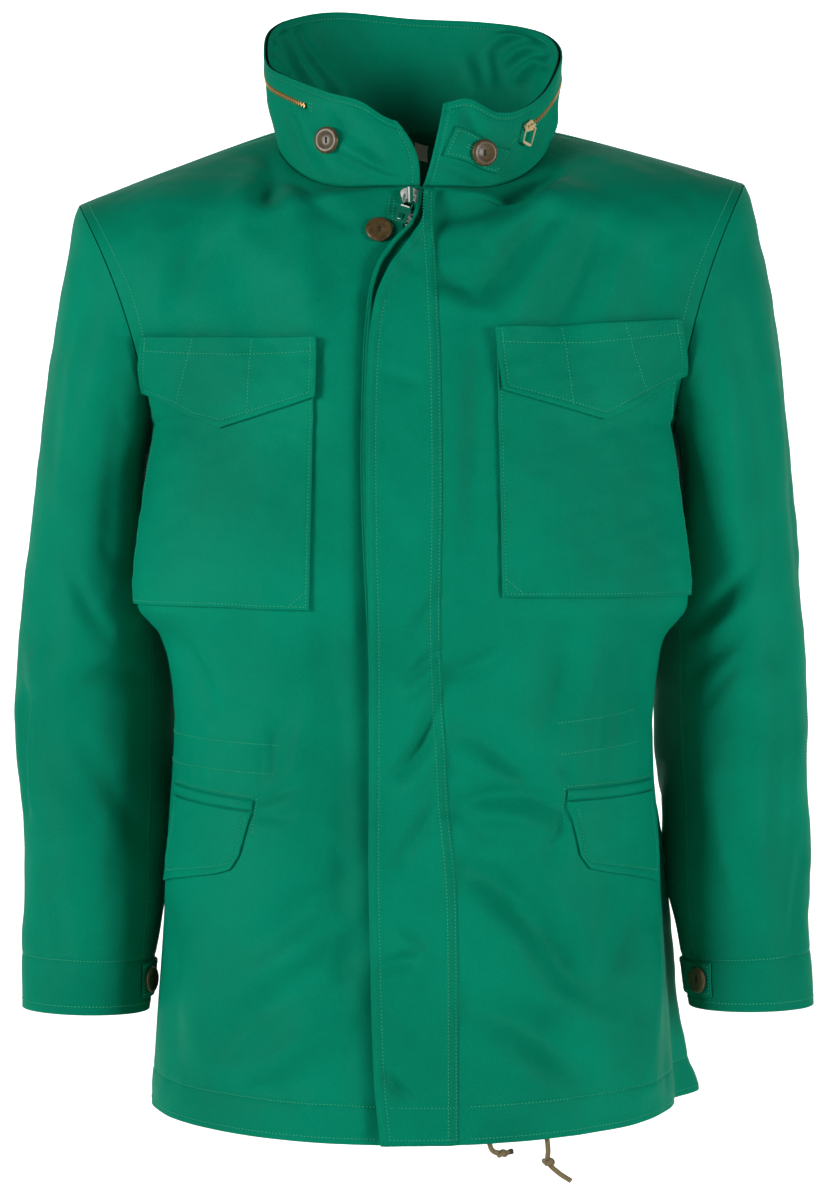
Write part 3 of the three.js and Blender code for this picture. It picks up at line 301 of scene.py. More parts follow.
def torso_row(half, side, v):
    """One curve from the centre to the side. v is 0 at the hem, 1 at the armpit and 2 at the shoulder."""
    face = -1 if half == "front" else 1

    def section(column, z):
        return float(read(torso_sections, "z", column, z))

    if v <= 1:
        z = mix(HEM_Z, ARMPIT_Z, v)
        wide, deep = section("half", z), section(half, z)
        rise = HEM_RISE_AT_BACK * (1 - float(smooth(0, 0.35, v)))
        start = point(0, deep, z if half == "front" else z + rise)
        end = point(side * wide, SIDE_Y, z + rise / 2)
        over = section("over", z) if half == "front" else 0
        out = point(side * ROUNDNESS * wide, 0, 0)
        back = point(side * over, ROUNDNESS * (deep - SIDE_Y) - over * 0.28, 0)
        return start, start + out, end + back, end
    w = v - 1
    turn = NECK_SHARE[half]
    neck_degrees = 0 if half == "front" else 180
    top = neckline(neck_degrees)
    share = min(1, w / turn)
    start = point(0, mix(section(half, ARMPIT_Z), top[1], share**1.9), mix(ARMPIT_Z, top[2], share))
    if w > turn:
        start = neckline(side * mix(neck_degrees, NECK_POINT, (w - turn) / (1 - turn)))
    end = armhole(side, 180 * (1 - w) if half == "front" else 180 * (1 + w))
    third = (end - start) / 3
    bulge = point(0, face * CHEST_BULGE * math.sin(math.pi * w), SHOULDER_BOW * w)
    over = section("over", ARMPIT_Z) * (1 - float(smooth(0, 0.4, w))) if half == "front" else 0
    chest_out = point(side * ROUNDNESS * section("half", ARMPIT_Z), 0, 0)
    chest_back = point(side * over, ROUNDNESS * (section(half, ARMPIT_Z) - end[1]) - over * 0.28, 0)
    out = mix(chest_out, third + bulge, float(smooth(0, 1, w)))
    back = mix(chest_back, bulge * 0.6 - third, float(smooth(0, 0.55, w)))
    return start, start + out, end + back, end


def torso_surface(half, side):
    """A grid of points over a quarter of the body, even along its rows and smoothed up the chest."""
    rows = []
    t = np.linspace(0, 1, 121)[:, None]
    for j in range(GRID_V + 1):
        a, b, c, d = torso_row(half, side, 2 * j / GRID_V)
        curve = a * (1 - t) ** 3 + 3 * b * t * (1 - t) ** 2 + 3 * c * t**2 * (1 - t) + d * t**3
        lengths = lengths_along(curve)
        rows.append(picked(np.linspace(0, lengths[-1], GRID_U + 1), lengths, curve))
    grid = np.array(rows)
    first = round(GRID_V * 0.46)
    for turn in range(EVENING_ROUNDS * 2):
        step = -0.53 if turn % 2 else 0.5
        below, above = grid[first - 1 : -2, 1:-1], grid[first + 1 :, 1:-1]
        middle = (below + above + grid[first:-1, :-2] + grid[first:-1, 2:]) / 4
        grid[first:-1, 1:-1] += (middle - grid[first:-1, 1:-1]) * step
    return grid


torso = {(half, side): torso_surface(half, side) for half in ("front", "back") for side in (LEFT, RIGHT)}


def on_grid(grid, u, v):
    """Points of a surface at u across and v up, from 0 to 1, on a smooth curve through its grid."""
    u, v = np.broadcast_arrays(np.clip(u, 0, 1), np.clip(v, 0, 1))
    x, y = u * (grid.shape[1] - 1), v * (grid.shape[0] - 1)
    i, j = np.minimum(x.astype(int), grid.shape[1] - 2), np.minimum(y.astype(int), grid.shape[0] - 2)

    def weights(t):
        return (
            (-(t**3) + 2 * t**2 - t) / 2,
            (3 * t**3 - 5 * t**2 + 2) / 2,
            (-3 * t**3 + 4 * t**2 + t) / 2,
            (t**3 - t**2) / 2,
        )

    total = 0
    for dj, wy in zip((-1, 0, 1, 2), weights(y - j)):
        row = np.clip(j + dj, 0, grid.shape[0] - 1)
        for di, wx in zip((-1, 0, 1, 2), weights(x - i)):
            column = np.clip(i + di, 0, grid.shape[1] - 1)
            total = total + grid[row, column] * (wx * wy)[..., None]
    return total


def grid_normals(grid, u, v, outward):
    """The outward directions of a surface. outward is 1 or -1, for the hand of its grid."""
    du, dv = 1 / (grid.shape[1] - 1), 1 / (grid.shape[0] - 1)
    across = on_grid(grid, u + du, v) - on_grid(grid, u - du, v)
    along = on_grid(grid, u, v + dv) - on_grid(grid, u, v - dv)
    return unit(np.cross(across, along) * outward)


NARROW_FOLD, NARROW_BOOST = 17.5, 1.6  # folds narrower than this, in mm, stand this much sharper


def crease_height(creases, x, y):
    """Soft ridges and troughs, each from one place to another: (x0, y0, x1, y1, width, height, bow)."""
    total = np.zeros(np.broadcast(x, y).shape)
    for x0, y0, x1, y1, width, height, bow in creases:
        if width < NARROW_FOLD:
            height = height * NARROW_BOOST
        length = math.hypot(x1 - x0, y1 - y0)
        ax, ay = (x1 - x0) / length, (y1 - y0) / length
        along = (x - x0) * ax + (y - y0) * ay
        near = np.clip(along, 0, length)
        off = (x - x0) * -ay + (y - y0) * ax - bow * np.sin(np.pi * near / length)
        away = np.hypot(off, along - near)
        total += height * hump(away, 0, width) * (0.55 + 0.45 * np.sin(np.pi * near / length))
    return total


def ripple(points, size, seed):
    """A gentle unevenness, near 1 high, with waves about size long."""
    rng = np.random.default_rng(seed)
    total = 0
    for _ in range(9):
        wave = rng.normal(size=3)
        wave *= 2 * np.pi / (size * rng.uniform(0.7, 1.6)) / np.linalg.norm(wave)
        total = total + np.sin(points @ wave + rng.uniform(0, 6.28)) * rng.uniform(0.5, 1)
    return total / 3


# Folds of the fronts and the back, in the view from the front: x0, z0, x1, z1, width, height, bow.
front_folds = [
    (118, -70, 70, -150, 26, 4, 0), (-130, -80, -80, -150, 26, 4, 0), (60, -280, 34, -400, 22, 4, 0),
    (150, -500, 70, -720, 38, 6, 0), (66, -560, 120, -760, 34, -5, 0), (-150, -560, -80, -700, 36, 5, 0),
    (-66, -440, -60, -760, 22, -4, 0),
    # right chest: the pleat under the collar, and soft folds down towards the pocket
    (-106, -38, -118, -84, 12, -4, 0), (-127, -44, -132, -92, 14, 3, 0), (-98, -50, -84, -92, 10, 1.8, 0),
    (-92, -50, -50, -88, 8, -2.8, -3), (-134, -92, -118, -176, 20, -4, 0), (-85, -98, -74, -172, 15, 4, 0),
    (-190, -98, -198, -164, 14, 3, 0), (-160, -84, -184, -150, 9, -2.5, 3),
    (-56, -300, -50, -745, 14, -2.5, 0),
    # left chest: folds that fan out from the throat
    (106, -44, 22, -82, 9, -7, 6), (112, -60, 62, -98, 10, 5, 4), (98, -86, 44, -152, 11, -5.5, 3),
    (128, -68, 68, -172, 13, 5, 0), (144, -96, 112, -165, 12, -4.5, 0), (162, -98, 142, -164, 12, 3, 0),
    (186, -104, 182, -158, 12, -2.5, 0), (26, -136, 64, -133, 8, -3, 2), (22, -150, 58, -158, 8, 2.5, 0),
    (34, -180, 30, -330, 12, 2.5, 0), (48, -196, 44, -330, 9, -2.5, 0),
    # waist, right
    (-176, -414, -156, -456, 9, -3.5, 2), (-162, -404, -140, -452, 10, 3, 0),
    (-90, -456, -116, -524, 13, -2.6, -4), (-80, -450, -97, -528, 12, 3, 0),
    (-117, -530, -90, -517, 5, -2.5, 0), (-117, -540, -94, -541, 5, -2.5, 0),
    (-110, -380, -104, -450, 14, 2.5, 0), (-70, -390, -66, -450, 10, -2.5, 0),
    # waist, left
    (65, -416, 26, -433, 8, -3.5, 3), (117, -402, 104, -464, 13, -4.5, 0), (141, -404, 132, -452, 14, 3.5, 0),
    (43, -474, 86, -510, 9, -3.5, 3), (30, -490, 82, -522, 9, 3.5, 0), (38, -530, 114, -534, 7, -4.5, 10),
    (26, -533, 62, -552, 7, -3.5, 0), (44, -542, 104, -552, 8, 3.5, 6), (113, -538, 104, -566, 5, -3, 0),
    (112, -500, 120, -510, 5, -2, 0),
    # skirt, left
    (40, -580, 74, -600, 13, -6, 4), (74, -600, 134, -684, 13, -6.5, 5), (50, -612, 100, -678, 15, 5, 4),
    (42, -680, 131, -734, 13, -5.5, 6), (102, -676, 150, -702, 13, 4.5, 3), (176, -608, 150, -664, 13, -5, 0),
    (142, -592, 132, -648, 14, 3.5, 0), (60, -716, 110, -748, 12, 3, 0), (188, -640, 184, -752, 9, 4, 0),
    # skirt, right
    (-54, -586, -116, -640, 15, -5, 0), (-46, -644, -140, -708, 17, -6, -6),
    (-62, -620, -124, -678, 15, 3.5, 0), (-60, -698, -124, -738, 13, 4, 0),
    (-170, -616, -160, -724, 15, 3.5, 0), (-190, -626, -186, -730, 10, -3, 0),
    (-84, -742, -150, -752, 10, -3, 0),
    # fly
    (19, -374, 0, -400, 6, -3.4, 0), (19, -414, -1, -435, 5, -3.7, 0), (16, -424, -4, -446, 6, 3.1, 0),
    (19, -451, -9, -505, 6, -4.8, 5), (24, -468, -2, -520, 8, 3.4, 4), (17, -531, -9, -572, 6, -3.7, 0),
    (-23, -652, 6, -644, 6, -3.4, 0), (-12, -627, 9, -646, 6, 3.1, 0), (-19, -734, -4, -751, 4.5, -4.1, 0),
    (-10, -685, 9, -707, 10, -3.1, 0), (-20, -206, 2, -212, 6, -1.6, 0), (21, -129, 41, -138, 6, -2.4, 0),
    (-14, -112, 0, -124, 6, -1.4, 0), (-26, -300, -6, -330, 9, -1.4, 0),
]
# The waist cord's channels gather the fronts: from x0 to x1, at the two heights of their rows of stitching.
waist_channels = [(-190, -106, -478, -512), (112, 190, -462, -492)]
gathers = np.random.default_rng(14)
for x0, x1, upper, lower in waist_channels:
    for x in np.arange(x0, x1, 8.5):
        x = x + gathers.uniform(-2, 2)
        top, bottom = upper + gathers.uniform(0, 14), lower - gathers.uniform(0, 14)
        front_folds.append((x, top, x + gathers.uniform(-5, 5), bottom, 3.4, gathers.uniform(0.4, 1.1), 0))
# Beside the edge of the fly the right front sinks in a narrow trough.
fly_trough = [(-31, -150, -25, -775, 9, -3.8, -4)]
back_folds = [
    (0, -50, 0, -190, 44, -5.2, 0), (150, -240, 110, -420, 28, 7.8, 0), (-150, -240, -120, -430, 28, 7.8, 0),
    (60, -470, 95, -760, 32, 9.1, 0), (-70, -470, -85, -760, 34, 7.8, 0), (176, -560, 192, -790, 38, 16, 0),
    (190, -755, 200, -805, 30, 22, 0), (178, -130, 96, -186, 11, -5.2, 6), (170, -160, 80, -214, 12, 5.2, 6),
    (-176, -140, -90, -196, 12, -5.2, -6), (-170, -168, -84, -226, 12, 5.2, -6),
    (198, -250, 110, -330, 14, 6.5, 8), (190, -276, 104, -356, 11, -5.2, 8),
    (-198, -250, -116, -340, 15, 6.5, -8), (-188, -280, -108, -366, 11, -5.2, -8),
    (-40, -60, -60, -150, 14, -3.9, 4), (52, -60, 66, -150, 14, 3.9, 4), (176, -436, 80, -462, 9, 5.2, 3),
    (-176, -442, -70, -466, 9, 5.2, -3), (150, -486, 50, -476, 8, -4.5, 0),
    (-150, -490, -40, -478, 8, -4.5, 0), (30, -380, 24, -460, 13, -4.5, 4),
    (-36, -390, -30, -462, 13, 4.5, 4), (84, -396, 74, -460, 11, 3.9, 0), (-96, -400, -90, -462, 11, -3.9, 0),
    (20, -476, 36, -630, 14, -6.5, 5), (-26, -480, -32, -650, 14, -6.5, 4),
    (110, -500, 140, -640, 14, -5.2, 6), (-120, -500, -140, -650, 15, -5.2, 6),
    (130, -620, 150, -770, 14, 5.2, 0), (-30, -620, -44, -770, 13, 6.5, 4), (2, -660, 10, -770, 12, -5.2, 0),
    (-176, -600, -182, -770, 14, 6.5, 0), (60, -640, 40, -760, 11, -3.9, 0),
]
HEM_UPPER, HEM_LOWER = 29, 5  # heights of the two rows of stitching above the hem's edge
BODY_LENGTH = 549  # from the hem to the armpit


def seam_relief(distance, row, roll=0.45, dent=0.55):
    """Height of cloth turned in at an edge: a soft roll, and a dent where the row of stitching lies."""
    return roll * hump(distance, row * 0.5, row * 0.32) - dent * hump(distance, row, 1.1)


def torso_cloth(half, side, u, v, lift=0, more=()):
    """The cloth of the body, with its folds, at u from the centre to the side and v from the hem up."""
    grid = torso[half, side]
    at = on_grid(grid, u, v)
    normals = grid_normals(grid, u, v, side if half == "front" else -side)
    if half == "back":
        centre = np.abs(at[..., 0]) < 1e-6
        normals[centre, 0] = 0
        normals = unit(normals)
    folds = front_folds + list(more) if half == "front" else back_folds
    neck_turn = 0.5 + NECK_SHARE[half] / 2
    wide_side = 0.86 if half == "front" else np.where(v < 0.4, 0.9, 0.86)
    by_side = 1 - smooth(0, 1, (u - wide_side) / (1 - wide_side))
    by_neck = mix(1, smooth(0, 0.12, u), smooth(neck_turn - 0.04, neck_turn, v))
    fade = by_side * by_neck * (1 - smooth(0.94, 1, v))
    uneven = 0.9 * ripple(at, 70, 3) + 0.4 * ripple(at, 26, 8) + 0.16 * ripple(at, 12, 5)
    above_hem = v * 2 * BODY_LENGTH
    hem = 0.8 * hump(above_hem, (HEM_UPPER + HEM_LOWER) / 2, 9) - 0.7 * hump(above_hem, HEM_UPPER, 1.5)
    hem = hem + 0.5 * ripple(at * (1, 1, 0.35), 11, 6) * hump(above_hem, HEM_UPPER, 8)
    height = (crease_height(folds, at[..., 0], at[..., 2]) + uneven) * fade + hem
    return at + normals * (lift + height)[..., None]


def shades(material, factor, dark, light, low, high):
    """The material's colour goes from dark to light as a texture's output goes from low to high."""
    nodes, links = material.node_tree.nodes, material.node_tree.links
    ramp = nodes.new("ShaderNodeValToRGB")
    for stop, place, colour in zip(ramp.color_ramp.elements, (low, high), (dark, light)):
        stop.position = place
        stop.color = (*colour, 1)
    links.new(factor, ramp.inputs["Fac"])
    links.new(ramp.outputs["Color"], nodes["Principled BSDF"].inputs["Base Color"])


def added(material, part, share, whole):
    """One texture's output times a share, plus another's."""
    nodes, links = material.node_tree.nodes, material.node_tree.links
    total = nodes.new("ShaderNodeMath")
    total.operation = "MULTIPLY_ADD"
    total.inputs[1].default_value = share
    links.new(part.outputs["Fac"], total.inputs[0])
    links.new(whole.outputs["Fac"], total.inputs[2])
    return total.outputs["Value"]


def sateen(name, colour, roughness=0.62):
    """Washed cotton sateen: a fine slanting weave, a soft sheen, and a little unevenness of dye."""
    made = shader(name, colour, roughness, Sheen_Weight=0.05, Sheen_Roughness=0.4,
                  Sheen_Tint=(0.1, 0.9, 0.6, 1), Specular_IOR_Level=0.04)
    fleck, dye = grain(made, "Noise", Scale=850, Detail=2), grain(made, "Noise", Scale=9, Detail=6)
    weave, slub = grain(made, "Noise", Scale=1100, Detail=3), grain(made, "Noise", Scale=160, Detail=4)
    darker, lighter = [c * 0.84 for c in colour], [min(1, c * 1.16) for c in colour]
    shades(made, added(made, fleck, 0.6, dye), darker, lighter, 0.55, 1)
    raise_surface(made, added(made, weave, 0.5, slub), 0.5, 0.0006)
    return made


GREEN = (0.0, 0.215, 0.122)
shell_cloth = sateen("green_sateen", GREEN)
wrong_side = sateen("sateen_wrong_side", (0.004, 0.15, 0.088), 0.8)


def cut_size(points):
    """Width, length and area, in metres, of the cloth of a grid of points, laid out flat."""
    across = np.linalg.norm(np.diff(points, axis=1), axis=2).sum(axis=1).max() * MM
    along = np.linalg.norm(np.diff(points, axis=0), axis=2).sum(axis=0).max() * MM
    one, other = points[1:, 1:] - points[:-1, :-1], points[1:, :-1] - points[:-1, 1:]
    area = np.linalg.norm(np.cross(one, other), axis=2).sum() / 2 * MM * MM
    return float(across), float(along), float(min(area, across * along))


def shell(name, place, across, along, low, high, materials=(shell_cloth, wrong_side), holes=None,
          roll=(0.5, 0.5)):
    """A closed thin wall of cloth. place(across, along, lift) gives its
    points in millimetres, where lift is low inside and high outside. holes(a, b) says which cells are cut
    away, and roll is how far the outer and the inner face turn in at the edges."""
    a, b = np.meshgrid(np.asarray(across, float), np.asarray(along, float))
    rows, columns = a.shape
    edge_lift = np.zeros_like(a)
    edge_lift[0, :] = edge_lift[-1, :] = edge_lift[:, 0] = edge_lift[:, -1] = 1
    outer = place(a, b, high - edge_lift * roll[0])
    inner = place(a, b, low + edge_lift * roll[1])
    count = rows * columns
    index = np.arange(count).reshape(rows, columns)
    cut = np.zeros((rows - 1, columns - 1), bool)
    if holes is not None:
        cut = holes((a[1:, 1:] + a[:-1, :-1]) / 2, (b[1:, 1:] + b[:-1, :-1]) / 2)
    quads = np.stack([index[:-1, :-1], index[:-1, 1:], index[1:, 1:], index[1:, :-1]], axis=-1)
    kept = quads[~cut]
    faces = [kept, kept[:, ::-1] + count]
    padded = np.pad(cut, 1, constant_values=True)
    for dj, di, e0, e1 in ((-1, 0, 0, 1), (0, 1, 1, 2), (1, 0, 2, 3), (0, -1, 3, 0)):
        beside = padded[1 + dj : rows + dj, 1 + di : columns + di]
        rim = quads[~cut & beside]
        faces.append(np.stack([rim[:, e1], rim[:, e0], rim[:, e0] + count, rim[:, e1] + count], axis=-1))
    all_faces = np.concatenate(faces)
    points = np.concatenate([outer.reshape(-1, 3), inner.reshape(-1, 3)])
    p = points[all_faces]
    volume = np.einsum("ij,ij->i", p[:, 0], np.cross(p[:, 1], p[:, 2]) + np.cross(p[:, 2], p[:, 3])).sum()
    if volume < 0:
        all_faces = all_faces[:, ::-1]
    made = mesh_object(name, points, all_faces.tolist(), materials[0])
    made.data.materials.append(materials[1])
    inside = np.zeros(len(all_faces), int)
    inside[len(kept) : 2 * len(kept)] = 1
    made.data.polygons.foreach_set("material_index", inside)
    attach(made, "garment")
    return made


def spaced(length, step, edge=(0, 0.6, 1.4, 2.2, 3, 4, 5, 6, 7, 8, 10)):
    """Places from 0 to 1 along a length, close together near both ends, where edges and stitching are."""
    middle = np.linspace(edge[-1], length - edge[-1], max(2, round((length - 2 * edge[-1]) / step)))
    return np.concatenate([edge[:-1], middle, length - np.array(edge[:-1])[::-1]]) / length


ZIP_X = -3
FRONT_EDGE = 4.5  # how far each front's edge stands from the zip's middle
ROW_LENGTH = 258  # from the centre to the side seam
HALF_SEAM = 0.15
TOP = 0.9994  # just under the shoulder seam


def front_place(side):
    """The place function of a front. s runs from its zip edge to its side seam, v from the hem up."""
    trough = fly_trough if side < 0 else ()

    def place(s, v, lift):
        height = v * 2 - 1
        by_centre = (FRONT_EDGE + side * ZIP_X) / ROW_LENGTH
        turn = NECK_SHARE["front"]
        start = mix(by_centre, HALF_SEAM * 2 / ROW_LENGTH, smooth(turn, turn + 0.06, height))
        return torso_cloth("front", side, mix(start, 1 - HALF_SEAM / ROW_LENGTH, s), np.minimum(v, TOP), lift,
                           trough)

    return place


front_columns = spaced(ROW_LENGTH, 3)
by_hem_row = np.array([26.2, 27.4, 28.3, 29, 29.7, 30.6, 31.8]) / BODY_LENGTH / 2
front_rows = np.unique(np.concatenate([spaced(BODY_LENGTH, 3.5)[:-3] * 0.5, by_hem_row,
                                       np.linspace(0.5, 1, 94)]))
for name, side in SIDES.items():
    piece = shell("front_" + name + "_sateen", front_place(side), front_columns, front_rows, -SHELL, 0)
    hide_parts("front_" + name)


def back_place(x, v, lift):
    """x runs from -1 at the wearer's right side seam to 1 at the left one."""
    u = np.abs(x) * (1 - HALF_SEAM / ROW_LENGTH)
    high = np.minimum(v, TOP)
    left, right = (torso_cloth("back", side, u, high, lift) for side in (LEFT, RIGHT))
    return np.where((x < 0)[..., None], right, left)


# Up to the neck the back is one sheet. From there each shoulder is its own strip beside the neck hole.
half_back = spaced(ROW_LENGTH, 3.7)
back_rows = np.unique(np.concatenate([spaced(BODY_LENGTH, 4)[:-3] * 0.5, by_hem_row,
                                      np.linspace(0.5, 0.5 + NECK_SHARE["back"] / 2, 50)[1:]]))
shoulder_rows = np.linspace(0.5 + NECK_SHARE["back"] / 2, 1, 36)[1:]


def back_mesh():
    """Points, and lists of faces: outer, inner and four edges for the right half, then for the left."""
    columns = np.concatenate([-half_back[::-1][:-1], half_back])
    rows = np.concatenate([back_rows, shoulder_rows])
    a, b = np.meshgrid(columns, rows)
    count, wide = a.size, a.shape[1]
    middle = len(half_back) - 1
    edge_lift = np.zeros_like(a)
    edge_lift[0] = edge_lift[-1] = edge_lift[:, 0] = edge_lift[:, -1] = 0.5
    edge_lift[len(back_rows) :, middle] = 0.5
    outer, inner = back_place(a, b, -edge_lift), back_place(a, b, -SHELL + edge_lift)
    extra_x = np.full((len(shoulder_rows), 1), -1e-9)
    extra_v = shoulder_rows[:, None]
    extra = [back_place(extra_x, extra_v, np.full_like(extra_x, lift)) for lift in (-0.5, 0.5 - SHELL)]
    index = np.arange(count).reshape(a.shape)
    left_index, right_index = index.copy(), index.copy()
    right_index[len(back_rows) :, middle] = count * 2 + np.arange(len(shoulder_rows))
    inner_of = np.concatenate([np.arange(count) + count, np.zeros(count, int),
                               count * 2 + len(shoulder_rows) + np.arange(len(shoulder_rows))])
    faces = []
    for use, columns_used in ((right_index, slice(0, middle + 1)), (left_index, slice(middle, wide))):
        part = use[:, columns_used]
        quads = np.stack([part[:-1, :-1], part[:-1, 1:], part[1:, 1:], part[1:, :-1]], axis=-1).reshape(-1, 4)
        faces += [quads, inner_of[quads][:, ::-1]]
        outside_edge = part[:, 0] if columns_used.start == 0 else part[:, -1]
        neck_edge = part[len(back_rows) - 1 :, -1 if columns_used.start == 0 else 0]
        flip = columns_used.start == 0
        for line, turn in ((part[0], False), (part[-1], True), (outside_edge, flip), (neck_edge, not flip)):
            a0, a1 = (line[1:], line[:-1]) if turn else (line[:-1], line[1:])
            faces.append(np.stack([a1, a0, inner_of[a0], inner_of[a1]], axis=-1))
    points = np.concatenate([outer.reshape(-1, 3), inner.reshape(-1, 3), *[e.reshape(-1, 3) for e in extra]])
    return points, faces


back_points, back_faces = back_mesh()
inside_back = np.concatenate([np.full(len(f), k % 6 == 1) for k, f in enumerate(back_faces)])
back = mesh_object("back_sateen", back_points, np.concatenate(back_faces)[:, ::-1].tolist(), shell_cloth)
back.data.materials.append(wrong_side)
back.data.polygons.foreach_set("material_index", inside_back.astype(int))
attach(back, "garment")
half_grid = np.meshgrid(half_back, np.concatenate([back_rows, shoulder_rows]))
half_wide, back_long, half_area = cut_size(back_place(*half_grid, 0))
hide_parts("back")

# Each sleeve is an upper and an under piece of the same sateen, joined down the outer and the inner side, set
# into the armhole and ending in a plain stitched cuff. Rings run from t = 0 at the armhole to 1 at the cuff.
ring_depths = {
    "t": [0, 0.04, 0.1, 0.18, 0.28, 0.4, 0.52, 0.65, 0.78, 0.9, 1],
    "middle_y": [5, 6, 8, 13, 20, 26, 27, 24, 14, 4, -2],
    "front": [-83, -82, -79, -73, -62, -48, -42, -40, -43, -46, -46],
    "back": [97, 98, 98, 98, 100, 99, 94, 86, 72, 55, 43],
}
sleeve_rings = {
    LEFT: {
        **ring_depths,
        "out_x": [264, 270, 277, 288, 299, 308, 314, 318, 319, 317, 320],
        "out_z": [-43, -56, -86, -138, -210, -295, -380, -470, -565, -640, -698],
        "in_x": [206, 208, 210, 212, 213, 212, 213, 215, 217, 220, 222],
        "in_z": [-238, -246, -262, -290, -335, -390, -450, -520, -590, -648, -700],
    },
    RIGHT: {
        **ring_depths,
        "out_x": [266, 271, 276, 284, 295, 306, 316, 321, 313, 312, 312],
        "out_z": [-60, -72, -98, -145, -214, -298, -382, -468, -565, -642, -700],
        "in_x": [206, 208, 210, 211, 211, 210, 209, 209, 209, 211, 212],
        "in_z": [-238, -246, -262, -290, -335, -390, -450, -520, -590, -648, -703],
    },
}
UNDER_CUFF_DROP = {LEFT: 3, RIGHT: 10}
# Beside the waist the under sleeves lean in behind the body, most at 205 degrees round.
sleeve_tuck = {"t": [0, 0.12, 0.22, 0.32, 0.45, 0.66, 0.8, 0.92, 1], "depth": [0, 0, 4, 12, 20, 20, 16, 7, 2]}
TUCK_AT, TUCK_WIDTH = 205, 32
SLEEVE_LENGTH = 560
DEGREE_LENGTH = 1.05  # millimetres round the sleeve for each degree
INNER_SEAM = 161.44  # degrees round from the outer seam
CUFF_ROW = 42  # the upper row of stitching, above the cuff's edge
# Sleeve folds run between two places given as t and degrees round: t0, d0, t1, d1, width, height, bow.
sleeve_folds = {
    LEFT: [
        (0.1, 60, 0.3, 40, 22, 4, 0), (0.5, 120, 0.66, 40, 20, 5, 0), (0.62, 110, 0.76, 50, 18, -4, 0),
        (0.35, 250, 0.6, 300, 26, 5, 0), (0.43, 145, 0.42, 84, 9, -3, 0), (0.5, 138, 0.5, 101, 8, -3, 0),
        (0.46, 140, 0.46, 90, 8, 2.4, 0), (0.56, 130, 0.53, 100, 6, -2, 0), (0.1, 110, 0.4, 95, 14, 2.4, 0),
        (0.1, 80, 0.4, 75, 10, -2.2, 0), (0.62, 60, 0.8, 70, 10, -2.4, 0), (0.66, 128, 0.82, 108, 10, 2.4, 4),
        (0.2, 28, 0.5, 22, 12, -2, 0), (0.8, 40, 0.93, 52, 9, -2, 0), (0.4, 190, 0.44, 250, 9, -3, 3),
        (0.46, 196, 0.5, 262, 9, 2.6, 0), (0.5, 205, 0.58, 280, 9, -2.6, 4),
        (0.64, 190, 0.8, 226, 10, -2.4, 0), (0.1, 236, 0.34, 216, 14, 2.4, 0),
        (0.12, 292, 0.32, 300, 12, -2.4, 0), (0.78, 262, 0.94, 246, 10, -2, 0),
    ],
    RIGHT: [
        (0.12, 50, 0.34, 70, 22, 4, 0), (0.48, 120, 0.64, 30, 20, 5, 0), (0.6, 30, 0.72, 100, 18, -5, 0),
        (0.36, 260, 0.58, 300, 26, 5, 0), (0.63, 50, 0.735, 42, 6, 2.4, 0), (0.62, 40, 0.74, 30, 8, -3, 0),
        (0.64, 95, 0.73, 148, 14, -3, 0), (0.43, 78, 0.47, 106, 10, -2.4, 0),
        (0.8, 58, 0.94, 78, 10, -2.4, 0), (0.08, 95, 0.35, 70, 14, 2.4, 0), (0.1, 60, 0.3, 50, 12, -2.4, 0),
        (0.15, 120, 0.35, 110, 12, -2.4, 0), (0.5, 140, 0.56, 90, 8, -2.4, 0), (0.4, 148, 0.46, 120, 8, 2, 0),
        (0.38, 184, 0.44, 244, 9, 2.8, 3), (0.44, 190, 0.5, 256, 8, -3, 3),
        (0.54, 200, 0.6, 276, 10, -2.4, 0), (0.62, 186, 0.8, 214, 11, 2.4, 0),
        (0.1, 250, 0.36, 226, 14, -2.4, 0), (0.14, 300, 0.34, 306, 12, 2.4, 0),
        (0.78, 280, 0.94, 256, 10, -2.2, 0),
    ],
}


def sleeve_ring(side, t, degrees):
    """The sleeve without its folds. Degrees are round from its outer side, through its front."""
    rings = sleeve_rings[side]
    a = np.radians(degrees)
    front = np.sin(a) > 0
    share = (1 + np.cos(a)) / 2
    bow = ARMHOLE_BOW * (1 - smooth(0, 0.2, t)) * np.sin(a) ** 2
    middle = read(rings, "t", "middle_y", t)
    reach = np.where(front, middle - read(rings, "t", "front", t), read(rings, "t", "back", t) - middle)
    drop = UNDER_CUFF_DROP[side] * smooth(0.93, 1, t) * smooth(0.1, 0.9, -np.sin(a))
    tuck = read(sleeve_tuck, "t", "depth", t) * hump(np.mod(degrees, 360), TUCK_AT, TUCK_WIDTH)
    x = mix(read(rings, "t", "in_x", t), read(rings, "t", "out_x", t), share) - bow - tuck
    z = mix(read(rings, "t", "in_z", t), read(rings, "t", "out_z", t), share) - drop
    return point(side * x, middle - reach * np.sin(a), z)


